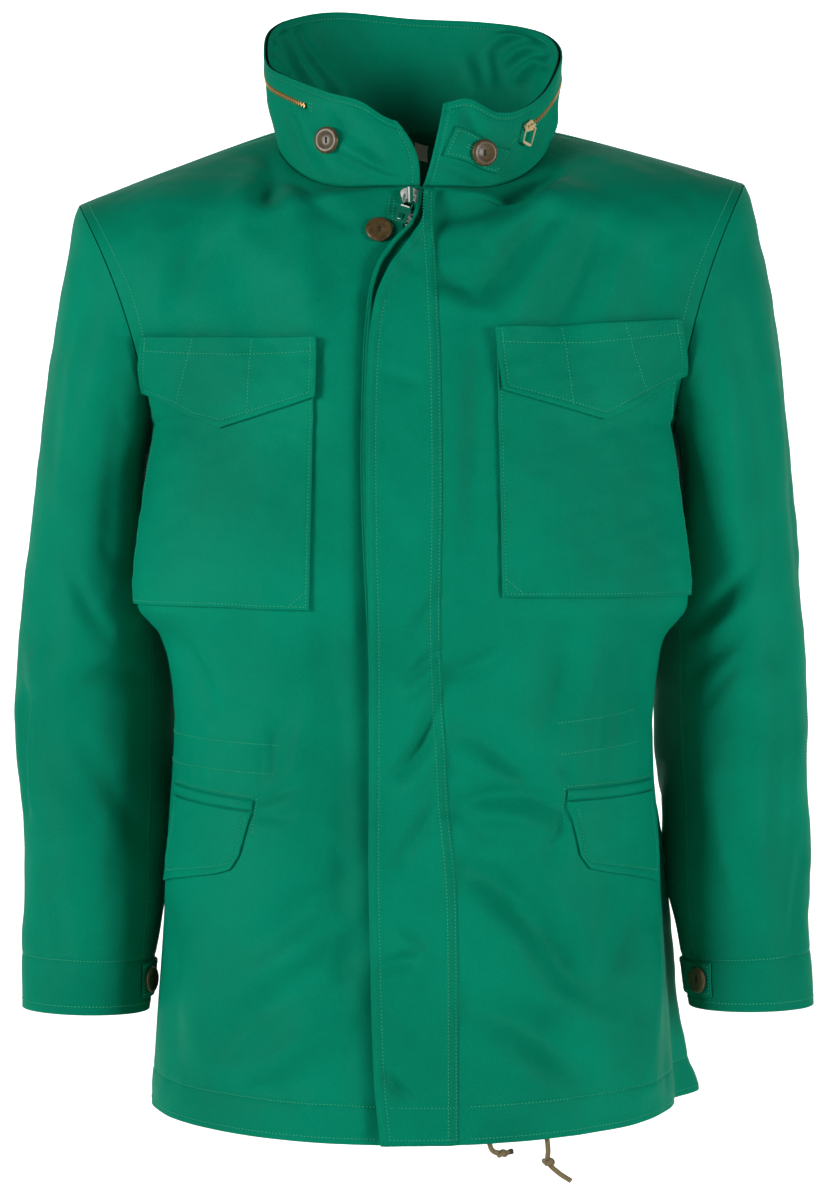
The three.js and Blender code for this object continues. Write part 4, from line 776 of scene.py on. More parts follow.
def sleeve_cloth(side, t, degrees, lift=0):
    t, degrees = np.broadcast_arrays(np.asarray(t, float), np.asarray(degrees, float))
    below, above = np.minimum(1, t + 0.004), np.maximum(0, t - 0.004)
    along = sleeve_ring(side, below, degrees) - sleeve_ring(side, above, degrees)
    around = sleeve_ring(side, t, degrees + 1) - sleeve_ring(side, t, degrees - 1)
    normals = unit(np.cross(around, along) * side)
    normals[..., 0] *= smooth(0, 0.06, t)
    normals = unit(normals)
    at = sleeve_ring(side, t, degrees)
    folds = [(t0 * SLEEVE_LENGTH, d0 * DEGREE_LENGTH, t1 * SLEEVE_LENGTH, d1 * DEGREE_LENGTH, *rest)
             for t0, d0, t1, d1, *rest in sleeve_folds[side]]
    height = crease_height(folds, t * SLEEVE_LENGTH, np.mod(degrees, 360) * DEGREE_LENGTH)
    height = height + 1.0 * ripple(at, 60, 21 + side) + 0.4 * ripple(at, 24, 33 + side)
    height = height * smooth(0.02, 0.1, t) * (1 - smooth(0.9, 1, t))
    to_cuff = (1 - t) * SLEEVE_LENGTH
    height = height + 0.5 * hump(to_cuff, 24, 14) - 0.7 * hump(to_cuff, CUFF_ROW, 1.5)
    made = at + normals * (lift + height)[..., None]
    made[..., 0] += side * 0.48 * (1 - smooth(0, 0.05, t))
    return made


def sleeve_place(side):
    return lambda degrees, t, lift: sleeve_cloth(side, t, degrees, lift)


def degrees_between(low, high, step):
    length = (high - low) * DEGREE_LENGTH
    return low + (high - low) * spaced(length, step)


by_cuff_row = 1 - np.arange(CUFF_ROW - 2.5, CUFF_ROW + 3, 0.8) / SLEEVE_LENGTH
sleeve_rows = np.unique(np.concatenate([spaced(SLEEVE_LENGTH, 3.6), by_cuff_row]))
for name, side in SIDES.items():
    for half, low, high in (("upper", 0.2, INNER_SEAM - 0.2), ("under", INNER_SEAM + 0.2, 359.8)):
        piece = shell(f"sleeve_{name}_{half}_sateen", sleeve_place(side), degrees_between(low, high, 3.1),
                      sleeve_rows, -SHELL, 0)
        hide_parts(f"sleeve_{name}_{half}")

# The stand-up collar is two layers of sateen. A brass zip in the outer one closes the pocket between them.
# Places on it are degrees round from the middle front through the wearer's left, and shares of its height.
collar_top = {
    "at": [4, 12, 21, 33, 45, 60, 75, 90, 120, 150, 180, 212, 240, 262, 283, 308, 327, 340, 350, 363],
    "z": [2, 6, 10, 1, 5, 21, 43, 60, 85, 98, 103, 106, 94, 76, 48, 30, 16, 8, -5, -14],
}
collar_rim = {"half_width": 119, "middle_y": -9, "front": 80, "back": 78}
# Degrees of the two ends at the neckline and at the top edge.
COLLAR_START = {"low": 4, "high": 11.3, "power": 0.75}
COLLAR_END = {"low": 362.8, "high": 354.3, "power": 3}
COLLAR_LAYER = 1.2
COLLAR_GAP = 1.8
COLLAR_ROW = 5.2  # the row of stitching inside the edges
# The zip runs between two angles, at these shares of the height on the left, on the right and at the back.
collar_zip = {"from": 48, "to": 316, "share": 0.7, "end_share": 0.77, "back_share": 0.62, "tape": 12}
ZIP_MOUTH = 4.4  # the slot's lips lie this close over the wider tape
SLOT_LOW, SLOT_HIGH = 0.6, 0.68  # the rows of the mesh that the slot lies between


def collar_line(degrees, h):
    """The collar's outer layer without its folds."""
    degrees = np.asarray(degrees, float)
    a = np.radians(degrees)
    low = neckline(degrees) + np.array([0, 0, 0.5])
    deep = np.where(np.cos(a) > 0, collar_rim["front"], collar_rim["back"])
    high = point(collar_rim["half_width"] * np.sin(a), collar_rim["middle_y"] - deep * np.cos(a),
                 read(collar_top, "at", "z", degrees))
    bow = 3 * np.sin(np.pi * h)
    h = np.asarray(h, float)[..., None]
    return low + (high - low) * h + point(bow * np.sin(a), -bow * np.cos(a), 0)


# Soft folds of the standing collar: degrees and share of the height at both ends, width, height and bow.
collar_folds = [
    (329, 0.86, 335, 0.6, 6, -2.9, 0), (332, 0.32, 353, 0.08, 5, -2.7, 0), (330, 0.46, 350, 0.2, 6, 2.6, 0),
    (302, 0.62, 311, 0.14, 13, -4.4, 0), (316, 0.6, 326, 0.1, 11, 3.4, 0), (340, 0.62, 346, 0.4, 7, -1.9, 0),
    (21, 0.86, 23, 0.66, 4.5, -2.4, 0), (16, 0.86, 15, 0.5, 5, 1.8, 0), (14, 0.22, 32, 0.06, 6, -3.2, 0),
    (62, 0.6, 56, 0.12, 13, -4, 0), (74, 0.5, 72, 0.1, 12, 2.8, 0), (100, 0.4, 96, 0.05, 15, -3.4, 0),
    (268, 0.5, 272, 0.08, 15, -3.4, 0), (150, 0.34, 156, 0.05, 16, -3, 0), (214, 0.36, 206, 0.05, 15, -3, 0),
    (120, 0.5, 124, 0.1, 14, 3.5, 0), (240, 0.5, 238, 0.1, 14, 3.5, 0), (182, 0.4, 181, 0.08, 14, 3.2, 0),
]


def collar_creases(folds, degrees, h):
    """Creases of the collar, worked out in millimetres on its mean length and height."""
    measured = [(d0 * 1.8, h0 * 90, d1 * 1.8, h1 * 90, *rest) for d0, h0, d1, h1, *rest in folds]
    return crease_height(measured, degrees * 1.8, h * 90)


def collar_cloth(degrees, h, lift=0):
    degrees, h = np.broadcast_arrays(np.asarray(degrees, float), np.asarray(h, float))
    around = collar_line(degrees + 1, h) - collar_line(degrees - 1, h)
    upward = collar_line(degrees, np.minimum(1, h + 0.02)) - collar_line(degrees, np.maximum(0, h - 0.02))
    at = collar_line(degrees, h)
    wave = 1.1 * ripple(at, 46, 55) + 0.4 * ripple(at, 18, 56) + collar_creases(collar_folds, degrees, h)
    wave = wave * np.sin(np.pi * np.clip(h, 0, 1)) ** 0.6
    return at + unit(np.cross(around, upward)) * (lift + wave)[..., None]


def collar_height(degrees):
    return np.linalg.norm(collar_line(degrees, 1.0) - collar_line(degrees, 0.0), axis=-1)


def collar_slope(end, h):
    """Degrees of one of the collar's ends at a share of its height. The ends lean apart, on a curve."""
    return mix(end["low"], end["high"], np.clip(h, 0, 1) ** end["power"])


def between_ends(degrees, h, trim=0):
    """Columns near the two ends are drawn in, so that they follow the ends' slopes."""
    start, end = collar_slope(COLLAR_START, h) + trim * h, collar_slope(COLLAR_END, h) - trim * h
    first, last = mix(start, 24, degrees / 24), mix(336, end, (degrees - 336) / 24)
    return np.where(degrees < 24, first, np.where(degrees > 336, last, degrees))


def zip_share(degrees):
    """Share of the collar's height that the zip runs at."""
    at_side = np.where(np.asarray(degrees) < 180, collar_zip["share"], collar_zip["end_share"])
    return mix(at_side, collar_zip["back_share"], np.sin(np.radians(np.clip(degrees - 90, 0, 180))))


def outer_collar_place(degrees, row, lift):
    """row runs from 0 to 1 up the mesh, which has the zip's slot between SLOT_LOW and SLOT_HIGH."""
    tall = collar_height(degrees)
    half = ZIP_MOUTH / 2 / tall
    middle = zip_share(degrees)
    below = row / SLOT_LOW * (middle - half)
    between = middle + (row - (SLOT_LOW + SLOT_HIGH) / 2) / (SLOT_HIGH - SLOT_LOW) * 2 * half
    above = middle + half + (row - SLOT_HIGH) / (1 - SLOT_HIGH) * (1 - middle - half)
    h = np.where(row < SLOT_LOW, below, np.where(row > SLOT_HIGH, above, between))
    turned_in = seam_relief((1 - h) * tall, COLLAR_ROW)
    turned_in = turned_in + seam_relief(np.minimum(degrees, 360 - degrees) * 1.9, COLLAR_ROW)
    turned_in = turned_in - 0.45 * hump((1 - h) * tall, 2, 0.7)
    turned_in = turned_in + 0.7 * hump(h * tall, 1.6, 1.6)
    return collar_cloth(between_ends(degrees, h), h, lift + turned_in)


by_end = np.array([0, 0.3, 0.8, 1.4, 2, 2.5, 3, 3.6, 4.4, 5.5])
by_zip = np.linspace(collar_zip["from"], collar_zip["to"], 190)
collar_columns = np.unique(np.concatenate([by_end, np.linspace(7, 48, 26), by_zip, np.linspace(316, 353, 24),
                                           360 - by_end]))
collar_rows = np.unique(np.concatenate([np.linspace(0, SLOT_LOW, 24), [SLOT_LOW + 0.02, SLOT_HIGH - 0.02],
                                        np.linspace(SLOT_HIGH, 1, 26), [0.996]]))


def zip_slot(degrees, row):
    in_slot = (row > SLOT_LOW) & (row < SLOT_HIGH)
    return in_slot & (degrees > collar_zip["from"]) & (degrees < collar_zip["to"])


outer_collar = shell("collar_outer_sateen", outer_collar_place, collar_columns, collar_rows, -COLLAR_LAYER, 0,
                     holes=zip_slot)
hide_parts("collar_outer")
# Folds of the inner layer, which has more cloth than room, in the same columns.
inner_folds = [
    (274, 0.94, 252, 0.5, 6, -5.5, 4), (262, 0.92, 240, 0.4, 5.5, -6, 4), (247, 0.9, 226, 0.38, 5.5, -6, 3),
    (234, 0.84, 214, 0.36, 6, -5, 3), (208, 0.86, 196, 0.5, 10, -1.6, 0), (178, 0.84, 170, 0.76, 8, -1.4, 0),
    (122, 0.9, 146, 0.82, 5, -4, 5), (112, 0.84, 138, 0.66, 5.5, -5, 4), (104, 0.74, 132, 0.5, 6, -5.5, 4),
    (148, 0.74, 145, 0.44, 5, -2.6, 0), (158, 0.66, 152, 0.4, 6, -2, 0), (94, 0.9, 116, 0.5, 6, -3, 0),
    (186, 0.5, 184, 0.1, 12, -1.6, 0), (300, 0.9, 324, 0.4, 10, -2, 0), (50, 0.9, 36, 0.4, 10, -2, 0),
]


def inner_collar_place(degrees, h, lift):
    inward = collar_creases(inner_folds, degrees, h) * smooth(0, 0.15, h) * (1 - smooth(0.9, 0.98, h))
    inward = inward - seam_relief((1 - h) * collar_height(degrees), 6, 0.7, 0.5)
    return collar_cloth(between_ends(degrees, h, 0.5), h, lift + inward)


inner_low = -2 * COLLAR_LAYER - COLLAR_GAP
inner_rows = np.concatenate([[-0.07, -0.035], np.linspace(0, 0.88, 36), np.linspace(0.89, 1, 16)])
inner_collar = shell("collar_inner_sateen", inner_collar_place, collar_columns, inner_rows, inner_low,
                     inner_low + COLLAR_LAYER, (wrong_side, shell_cloth))
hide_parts("collar_inner")

# The collar's zip is a brass chain on a woven green tape, which lies between the two layers behind the slot.
brass = shader("brass", (0.72, 0.47, 0.17), 0.36, Metallic=0.65)


def zip_band(degrees, t, lift):
    h = zip_share(degrees) + (t - 0.5) * collar_zip["tape"] / collar_height(degrees)
    return collar_cloth(degrees, h, lift)


zip_tape_green = sateen("zip_tape", (0.004, 0.12, 0.07), 0.85)
tape_lift = -COLLAR_LAYER - COLLAR_GAP / 2
tape_columns = np.linspace(collar_zip["from"], collar_zip["to"], 160)
collar_tape = shell("collar_zip_tape_woven", zip_band, tape_columns, np.linspace(0, 1, 7), tape_lift - 0.3,
                    tape_lift + 0.3, (zip_tape_green, zip_tape_green), roll=(0.1, 0.1))
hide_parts("collar_zip_tape")


def teeth(name, centres, along, out, wide, long, thick, shift, material, slot):
    """Interlocked zip teeth: small blocks, by turns a little to one side of the chain and to the other."""
    across = unit(np.cross(along, out))
    corners = np.array([[x, y, z] for x in (-1, 1) for y in (-1, 1) for z in (-1, 1)], float) / 2
    corners[:, 2] *= 0.9
    points, faces = [], []
    box = [(0, 1, 3, 2), (4, 6, 7, 5), (0, 4, 5, 1), (2, 3, 7, 6), (0, 2, 6, 4), (1, 5, 7, 3)]
    for k, centre in enumerate(centres):
        turn = shift if k % 2 else -shift
        place = centre + across[k] * turn
        for x, y, z in corners:
            points.append(place + across[k] * x * wide + along[k] * y * long + out[k] * z * thick)
        faces += [[8 * k + i for i in face] for face in box]
    made = mesh_object(name, points, faces, material, smooth=False)
    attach(made, "garment")
    return made


def chain_along(line, outward, step):
    """Centres at equal steps along a fine line of points, with the directions ahead and outward there."""
    lengths = lengths_along(line)
    where = np.arange(step / 2, lengths[-1], step)
    centres = picked(where, lengths, line)
    ahead = picked(where + 0.5, lengths, line)
    return centres, unit(ahead - centres), unit(picked(where, lengths, outward))


chain_degrees = np.linspace(49.5, 315.5, 600)
chain_line = collar_cloth(chain_degrees, zip_share(chain_degrees), -0.3)
chain_out = collar_cloth(chain_degrees, zip_share(chain_degrees), 1) - chain_line
teeth("collar_zip_teeth", *chain_along(chain_line, chain_out, 1.45), 2.4, 0.95, 1.5, 0.6, brass, "zip_brass")

# The front closes with a zip of nickel teeth on a woven green tape, behind a fly of two layers of sateen that
# is sewn down on the wearer's left and free on the right.
def find_on_front(side, around, z):
    """u and v of a front at distances round from the middle and heights."""
    grid = torso["front", side]
    row_lengths = np.linalg.norm(np.diff(grid, axis=1), axis=2).sum(axis=1)
    rows = np.linspace(0, 1, len(row_lengths))
    around, z = np.broadcast_arrays(np.asarray(around, float), np.asarray(z, float))
    low, high = np.zeros(z.shape), np.ones(z.shape)
    for _ in range(22):
        v = (low + high) / 2
        u = np.minimum(1, around / np.interp(v, rows, row_lengths))
        below = on_grid(grid, u, v)[..., 2] < z
        low, high = np.where(below, v, low), np.where(below, high, v)
    return u, v


def front_at(side, around, z, lift=0):
    u, v = find_on_front(side, around, z)
    return torso_cloth("front", side, u, v, lift)


def front_point(s, z, lift=0):
    """s is a distance round from the middle front, + to the wearer's left."""
    s, z, lift = np.broadcast_arrays(np.asarray(s, float), np.asarray(z, float), np.asarray(lift, float))
    right, left = (front_at(side, np.abs(s), z, lift) for side in (RIGHT, LEFT))
    return np.where((s < 0)[..., None], right, left)


def outward_at(place, a, b):
    """The outward step of one millimetre from some cloth."""
    return place(a, b, 1) - place(a, b, 0)


tape_columns = np.linspace(ZIP_X - 13, ZIP_X + 16, 13)
tape_rows = np.linspace(HEM_Z + 14, -76, 150)
front_tape = shell("front_zip_tape_woven", front_point, tape_columns, tape_rows, -SHELL - 2.2, -SHELL - 1.2,
                   (zip_tape_green, zip_tape_green), roll=(0.1, 0.1))
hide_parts("front_zip_tape")
nickel = shader("white_nickel", (0.93, 0.93, 0.9), 0.34, Metallic=0.15)
zip_heights = np.linspace(HEM_Z + 16, -78, 700)
chain_line = front_point(ZIP_X, zip_heights, -SHELL + 0.6)
chain_steps = chain_along(chain_line, outward_at(front_point, ZIP_X, zip_heights), 1.9)
chain = teeth("front_zip_teeth", *chain_steps, 4.2, 1.2, 1.9, 1.0, nickel, "zip_nickel")
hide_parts("front_zip_chain")

# The fly's two layers of sateen, as distances round from the middle front: the free edge of each, and the line
# on the wearer's left where both are sewn down.
fly_edges = {
    "z": [-787, -735, -598, -530, -410, -298, -200, -150, -124, -106, -92, -78, -62],
    "outer": [-24, -29, -33, -33, -33, -35, -34, -28, -17, -4, 6, 9, 10],
    "under": [-19, -25, -29, -29, -34, -39, -38, -34, -28, -17, -4, 3, 5],
    "stitched": [34, 34, 33, 27, 21, 22, 21, 19, 18, 17, 16, 16, 18],
}
fly_base = {"under": 0, "outer": 1.3}
FLY_ROW = 7.5  # a row of stitching this far from the fly's edge
FLY_PIPING = 1.9  # the groove beside each layer's piped edge


def fly_place(edge):
    """The free edges stand off the front, most at the throat. The sewn side lies flat."""
    def place(share, z, lift):
        free = read(fly_edges, "z", edge, z)
        sewn = read(fly_edges, "z", "stitched", z) - (3 if edge == "under" else 0)
        s = mix(free, sewn, share)
        from_edge = share * (sewn - free)
        parting = smooth(-178, -120, z) * (1 - 0.4 * smooth(-82, -66, z))
        if edge == "outer":
            stand = (1.6 + 4.6 * parting) * (1 - smooth(0, 17, from_edge))
            stand = stand + seam_relief(from_edge, FLY_ROW, 0.5, 0.5)
        else:
            stand = (0.3 + 4.6 * parting) * (1 - smooth(2.9, 5.2, from_edge))
        stand = stand - 0.4 * hump(from_edge, FLY_PIPING, 0.6)
        settle = 1 - 0.86 * smooth(0.88, 1, share) if edge == "outer" else 1
        return front_point(s, z, (mix(1.3, 1, smooth(2, 12, s)) + fly_base[edge] + lift + stand) * settle)

    return place


fly_rows = np.linspace(-786.6, -63, 250)
by_edge = np.array([0, 0.4, 0.9, 1.4, 1.9, 2.4, 3, 4, 5.2, 6.3, 7, 7.5, 8, 8.8, 10]) / 56
under_columns = np.concatenate([by_edge, np.linspace(0.21, 1, 8)])
outer_columns = np.concatenate([by_edge, np.linspace(0.21, 0.86, 17),
                                [0.88, 0.9, 0.92, 0.94, 0.96, 0.98, 0.99, 1]])
under_fly = shell("fly_under_sateen", fly_place("under"), under_columns, fly_rows, 0, 1)
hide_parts("fly_under")
outer_fly = shell("fly_outer_sateen", fly_place("outer"), outer_columns, fly_rows, 0, 1.2)
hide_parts("fly_outer")

# Pockets. Each chest pocket is a patch under a pointed flap that buttons out of sight. Each lower pocket is
# cut into the front, with a narrow welt above a slanting flap. Corners are (distance round, height).
chest_pockets = {
    LEFT: {
        "top": [(63, -180), (220, -167)],
        "bottom": [(67, -374), (142, -374), (246, -372)],
        "flap_top": [(61, -172), (220, -159)],
        "flap_bottom": [(67, -218), (150, -239), (233, -199)],
    },
    RIGHT: {
        "top": [(74, -187), (226, -180)],
        "bottom": [(78, -384), (150, -381), (248, -378)],
        "flap_top": [(72, -179), (226, -172)],
        "flap_bottom": [(73, -223), (150, -246), (236, -212)],
    },
}
lower_pockets = {
    LEFT: {
        "welt": [(119, -521), (215, -516)],
        "flap_top": [(119, -530), (217, -525)],
        "flap_bottom": [(128, -570), (136, -581), (150, -584), (234, -598)],
    },
    RIGHT: {
        "welt": [(125, -529), (215, -520)],
        "flap_top": [(125, -538), (217, -529)],
        "flap_bottom": [(134, -571), (141, -582), (155, -586), (240, -598)],
    },
}


def along_line(line, share):
    line = np.array(line, float)
    lengths = lengths_along(line)
    return picked(share * lengths[-1], lengths, line)


def patch_place(side, top, bottom, size=(100, 100), row=None):
    """A patch between two lines of corners. row is how far inside its edge the stitching lies."""
    def place(s, t, lift):
        a, b = along_line(top, s), along_line(bottom, s)
        around, z = mix(a[..., 0], b[..., 0], t), mix(a[..., 1], b[..., 1], t)
        rise = 0
        if row:
            to_edge = np.minimum(np.minimum(s, 1 - s) * size[0], (1 - t) * size[1])
            rise = seam_relief(to_edge, row, 0.4, 0.4) + 0.25 * ripple(point(around, 0, z), 16, 4)
        return front_at(side, around, z, lift + rise)

    return place


# Width, height and row of stitching, for the patches that have one.
chest_size, CHEST_ROW = (160, 200), 2.6
chest_flap_size, CHEST_FLAP_ROW = (160, 52), 5
lower_flap_size, LOWER_FLAP_ROW = (100, 60), 7
WELT_HIGH = 8
pocket_places, chest_flap_places, lower_flap_places = {}, {}, {}
for name, side in SIDES.items():
    chest, lower = chest_pockets[side], lower_pockets[side]
    pocket_places[side] = patch_place(side, chest["top"], chest["bottom"], chest_size, CHEST_ROW)
    pocket = shell(f"chest_pocket_{name}_sateen", pocket_places[side], spaced(160, 2.8), spaced(200, 2.8),
                   1.4, 3)
    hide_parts("chest_pocket_" + name)
    chest_flap_places[side] = patch_place(side, chest["flap_top"], chest["flap_bottom"], chest_flap_size,
                                          CHEST_FLAP_ROW)
    flap = shell(f"chest_flap_{name}_sateen", chest_flap_places[side], spaced(160, 2.6), spaced(56, 1.6),
                 4.4, 5.9)
    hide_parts("chest_flap_" + name)
    welt_foot = [(s, z - WELT_HIGH) for s, z in lower["welt"]]
    welt = shell(f"lower_welt_{name}_sateen", patch_place(side, lower["welt"], welt_foot), spaced(94, 3),
                 np.linspace(0, 1, 5), 0.8, 2.2)
    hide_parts("lower_welt_" + name)
    lower_flap_places[side] = patch_place(side, lower["flap_top"], lower["flap_bottom"], lower_flap_size,
                                          LOWER_FLAP_ROW)
    lower_flap = shell(f"lower_flap_{name}_sateen", lower_flap_places[side], spaced(100, 2.2),
                       spaced(62, 1.8), 0.8, 2.4)
    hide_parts("lower_flap_" + name)

# Tabs of sateen: each cuff has one wrapped over its inner side, and the collar one across the throat. Each is
# stitched round its edge and held by a button.
cuff_tabs = {LEFT: {"from": 134, "to": 231, "button": 148}, RIGHT: {"from": 155, "to": 251, "button": 167}}
for name, side in SIDES.items():
    tab_columns = degrees_between(cuff_tabs[side]["from"], cuff_tabs[side]["to"], 2.8)
    tab_rows = mix(0.93, 0.98, spaced(28, 2.6))
    tab = shell(f"cuff_tab_{name}_sateen", sleeve_place(side), tab_columns, tab_rows, 0.8, 2.2)
    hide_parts("cuff_tab_" + name)
collar_tab = {"top": [(15.9, 0.68), (40.6, 0.47)], "bottom": [(11.6, 0.36), (35.6, 0.165)]}


def collar_tab_place(s, t, lift):
    a, b = along_line(collar_tab["top"], s), along_line(collar_tab["bottom"], s)
    return collar_cloth(mix(a[..., 0], b[..., 0], t), mix(a[..., 1], b[..., 1], t), lift)


tab = shell("collar_tab_sateen", collar_tab_place, spaced(48, 2.4), spaced(24, 2.4), 0.9, 2.3)
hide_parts("collar_tab")

# A blank woven label inside the back of the neck.
label_cloth = shader("label_beige", (0.80, 0.74, 0.56), 0.8, Sheen_Weight=0.2)


def label_place(s, t, lift):
    return torso_cloth("back", LEFT, mix(0.006, 0.05, s), mix(0.7985, 0.816, t), lift)


label = shell("neck_label_woven", label_place, np.linspace(0, 1, 9), np.linspace(0, 1, 7), -SHELL - 1.6,
              -SHELL - 1, (label_cloth, label_cloth), roll=(0.1, 0.1))
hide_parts("neck_label")

# Sewing: green polyester thread, a little lighter than the cloth, in lock stitches 2.8 mm apart that sit in
# it. The body has rows at the hem, the waist cord's channel, the armholes and the shoulders, and the sleeves
# have them at their seams and cuffs.
thread = shader("green_thread", (0.035, 0.41, 0.215), 0.6)
STITCH_PITCH = 2.8
STITCH_LENGTH = 2.0
STITCH_WIDTH, STITCH_HIGH = 0.9, 0.5


def run(place, corners, lift, samples=160):
    """A fine line over some cloth, through corners in its own two numbers, and its outward directions."""
    corners = np.array(corners, float)
    steps = np.linspace(0, len(corners) - 1, samples * (len(corners) - 1) + 1)
    a, b = (np.interp(steps, np.arange(len(corners)), corners[:, k]) for k in (0, 1))
    line = place(a, b, lift)
    return line, unit(place(a, b, lift + 1) - line)


def sew(name, runs, pitch=STITCH_PITCH, length=STITCH_LENGTH):
    """One mesh of stitches for all the lines. Each stitch is a slim grain with its ends in the cloth."""
    points, faces = [], []
    stitch = [(0, 2, 4), (2, 1, 4), (1, 3, 4), (3, 0, 4), (2, 0, 5), (1, 2, 5), (3, 1, 5), (0, 3, 5)]
    for line, normals in runs:
        lengths = lengths_along(line)
        where = np.arange(pitch / 2, lengths[-1], pitch)
        behind, at, ahead = (picked(where + step, lengths, line) for step in (-0.6, 0, 0.6))
        up = unit(picked(where, lengths, normals))
        along = unit(ahead - behind)
        across = np.cross(along, up)
        along = unit(along + across * 0.12)
        corners = [at - along * length / 2 - up * 0.1, at + along * length / 2 - up * 0.1,
                   at - across * STITCH_WIDTH / 2 + up * 0.05, at + across * STITCH_WIDTH / 2 + up * 0.05,
                   at + up * STITCH_HIGH, at - up * 0.25]
        first = len(points)
        points.extend(np.stack(corners, axis=1).reshape(-1, 3).tolist())
        for k in range(len(at)):
            faces += [[first + 6 * k + i for i in face] for face in stitch]
    made = mesh_object(name, points, faces, thread)
    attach(made, "garment")
    return made


def front_line(points, lift=0.05):
    return run(front_point, points, lift)


hem_rows = [height / BODY_LENGTH / 2 for height in (HEM_LOWER, HEM_UPPER)]
# The two rows of the waist cord's channel, from beside the pocket to the side seam.
channel_rows = {
    LEFT: [((112, -470), (187, -461)), ((114, -494), (190, -486))],
    RIGHT: [((106, -487), (255, -478)), ((108, -509), (252, -501))],
}
hem_starts = {LEFT: 0.155, RIGHT: 0.1}
for name, side in SIDES.items():
    def on_front(u, v, lift, side=side):
        return torso_cloth("front", side, u, v, lift)

    lines = [run(on_front, [(hem_starts[side], v), (0.5, v), (0.995, v)], 0.05, 300) for v in hem_rows]
    lines += [front_line([(side * s, z) for s, z in pair]) for pair in channel_rows[side]]
    # The front's armhole edge, topstitched 10 mm in, and its shoulder edge.
    lines.append(run(on_front, [(0.958, v) for v in np.linspace(0.535, 0.985, 12)], 0.05, 30))
    lines.append(run(on_front, [(u, 0.984) for u in (0.06, 0.95)], 0.05))
    if side < 0:
        lines += [front_line([(x, z) for z in (-66, -96)]) for x in (-15.5, -19)]
    sew(f"front_{name}_stitching", lines)
    on_sleeve = sleeve_place(side)
    sleeve_lines = []
    for t in (0.925, 0.988):
        sleeve_lines.append(run(on_sleeve, [(d, t) for d in np.linspace(1, 358, 25)], 0.05, 20))
    for d in (5, 356) if side > 0 else (356,):
        sleeve_lines.append(run(on_sleeve, [(d, t) for t in np.linspace(0.01, 0.985, 12)], 0.05, 50))
    sleeve_lines.append(run(on_sleeve, [(INNER_SEAM - 4, t) for t in np.linspace(0.03, 0.985, 12)], 0.05, 50))
    tab = cuff_tabs[side]
    ends = sorted((tab["from"] + 2.6, tab["to"] - 2.6))
    frame_of_tab = [(ends[0], 0.935), (ends[1], 0.935), (ends[1], 0.975), (ends[0], 0.975), (ends[0], 0.935)]
    sleeve_lines.append(run(on_sleeve, frame_of_tab, 2.25, 60))
    sew(f"sleeve_{name}_stitching", sleeve_lines)

back_lines = [run(back_place, [(-0.995, v), (0, v), (0.995, v)], 0.05, 400) for v in hem_rows]
for x in (-0.958, 0.958):
    back_lines.append(run(back_place, [(x, v) for v in np.linspace(0.535, 0.985, 12)], 0.05, 30))
for v in (0.262, 0.284):
    back_lines.append(run(back_place, [(-0.99, v), (0, v), (0.99, v)], 0.05, 400))
back_lines += [run(back_place, [(x * 0.06, 0.984), (x * 0.95, 0.984)], 0.05) for x in (-1, 1)]
sew("back_stitching", back_lines)

# The fly is held by two rows down its fold and one along its edge, and by a bar tack at its top.
on_fly = fly_place("outer")
edge_heights = np.linspace(-783, -66, 60)
fly_width = read(fly_edges, "z", "stitched", edge_heights) - read(fly_edges, "z", "outer", edge_heights)
fly_steps = list(zip(fly_width, edge_heights))
fly_lines = [run(on_fly, [(FLY_ROW / w, z) for w, z in fly_steps if z < -150], 1.22, 12)]
fly_lines += [run(on_fly, [(1 - off / w, z) for w, z in fly_steps], 1.25, 12) for off in (1.6, 7.6)]
fly_lines += [run(on_fly, [(0.16, HEM_Z + row), (0.99, HEM_Z + row)], 1.22) for row in (HEM_UPPER, HEM_LOWER)]
fly_lines += [run(on_fly, [(0.06, z), (0.34, z)], 1.25) for z in (-66.5, -67.6, -68.7)]
sew("fly_stitching", fly_lines)


def inset(place, wide, tall, margin, lift, sides="tblr"):
    """Lines round a patch, margin millimetres inside its edges. sides names them: t, b, l and r."""
    a, b = margin / wide, margin / tall
    corners = {"t": [(a, b), (1 - a, b)], "b": [(a, 1 - b), (0.5, 1 - b), (1 - a, 1 - b)],
               "l": [(a, b), (a, 1 - b)], "r": [(1 - a, b), (1 - a, 1 - b)]}
    return [run(place, corners[s], lift) for s in sides]


# A chest pocket has stitched mitres at its foot, and its flap has two darts and a bar at each end. A lower
# pocket has a row over its welt and a bar tack.
MITRE = 15
for name, side in SIDES.items():
    pocket_place, flap_place = pocket_places[side], chest_flap_places[side]
    lines = inset(pocket_place, *chest_size, CHEST_ROW, 3.05, "blr")
    lines.append(run(pocket_place, [(2.4 / 160, 1 - MITRE / 200), (MITRE / 160, 1 - 2.4 / 200)], 3.05))
    lines += inset(flap_place, *chest_flap_size, CHEST_FLAP_ROW, 5.95, "blr")
    lines.append(run(flap_place, [(0.02, 0.24), (0.5, 0.2), (0.98, 0.24)], 5.95))
    for s, lean in ((0.34, -0.02), (0.68, 0.04)):
        lines.append(run(flap_place, [(s, 0.02), (s + lean, 0.93)], 5.95))
    lines += [run(flap_place, [(s, 0.01), (s, 0.23)], 5.95) for s in (0.03, 0.97)]
    lines += inset(lower_flap_places[side], *lower_flap_size, LOWER_FLAP_ROW, 2.45, "blr")
    welt = lower_pockets[side]["welt"]
    lines.append(front_line([(side * s, z + 2.6) for s, z in welt], 0.1))
    near, high = welt[0]
    lines.append(front_line([(side * (near - 2), high + 2), (side * (near - 1.5), high - 24)], 0.1))
    sew(f"pocket_{name}_stitching", lines)

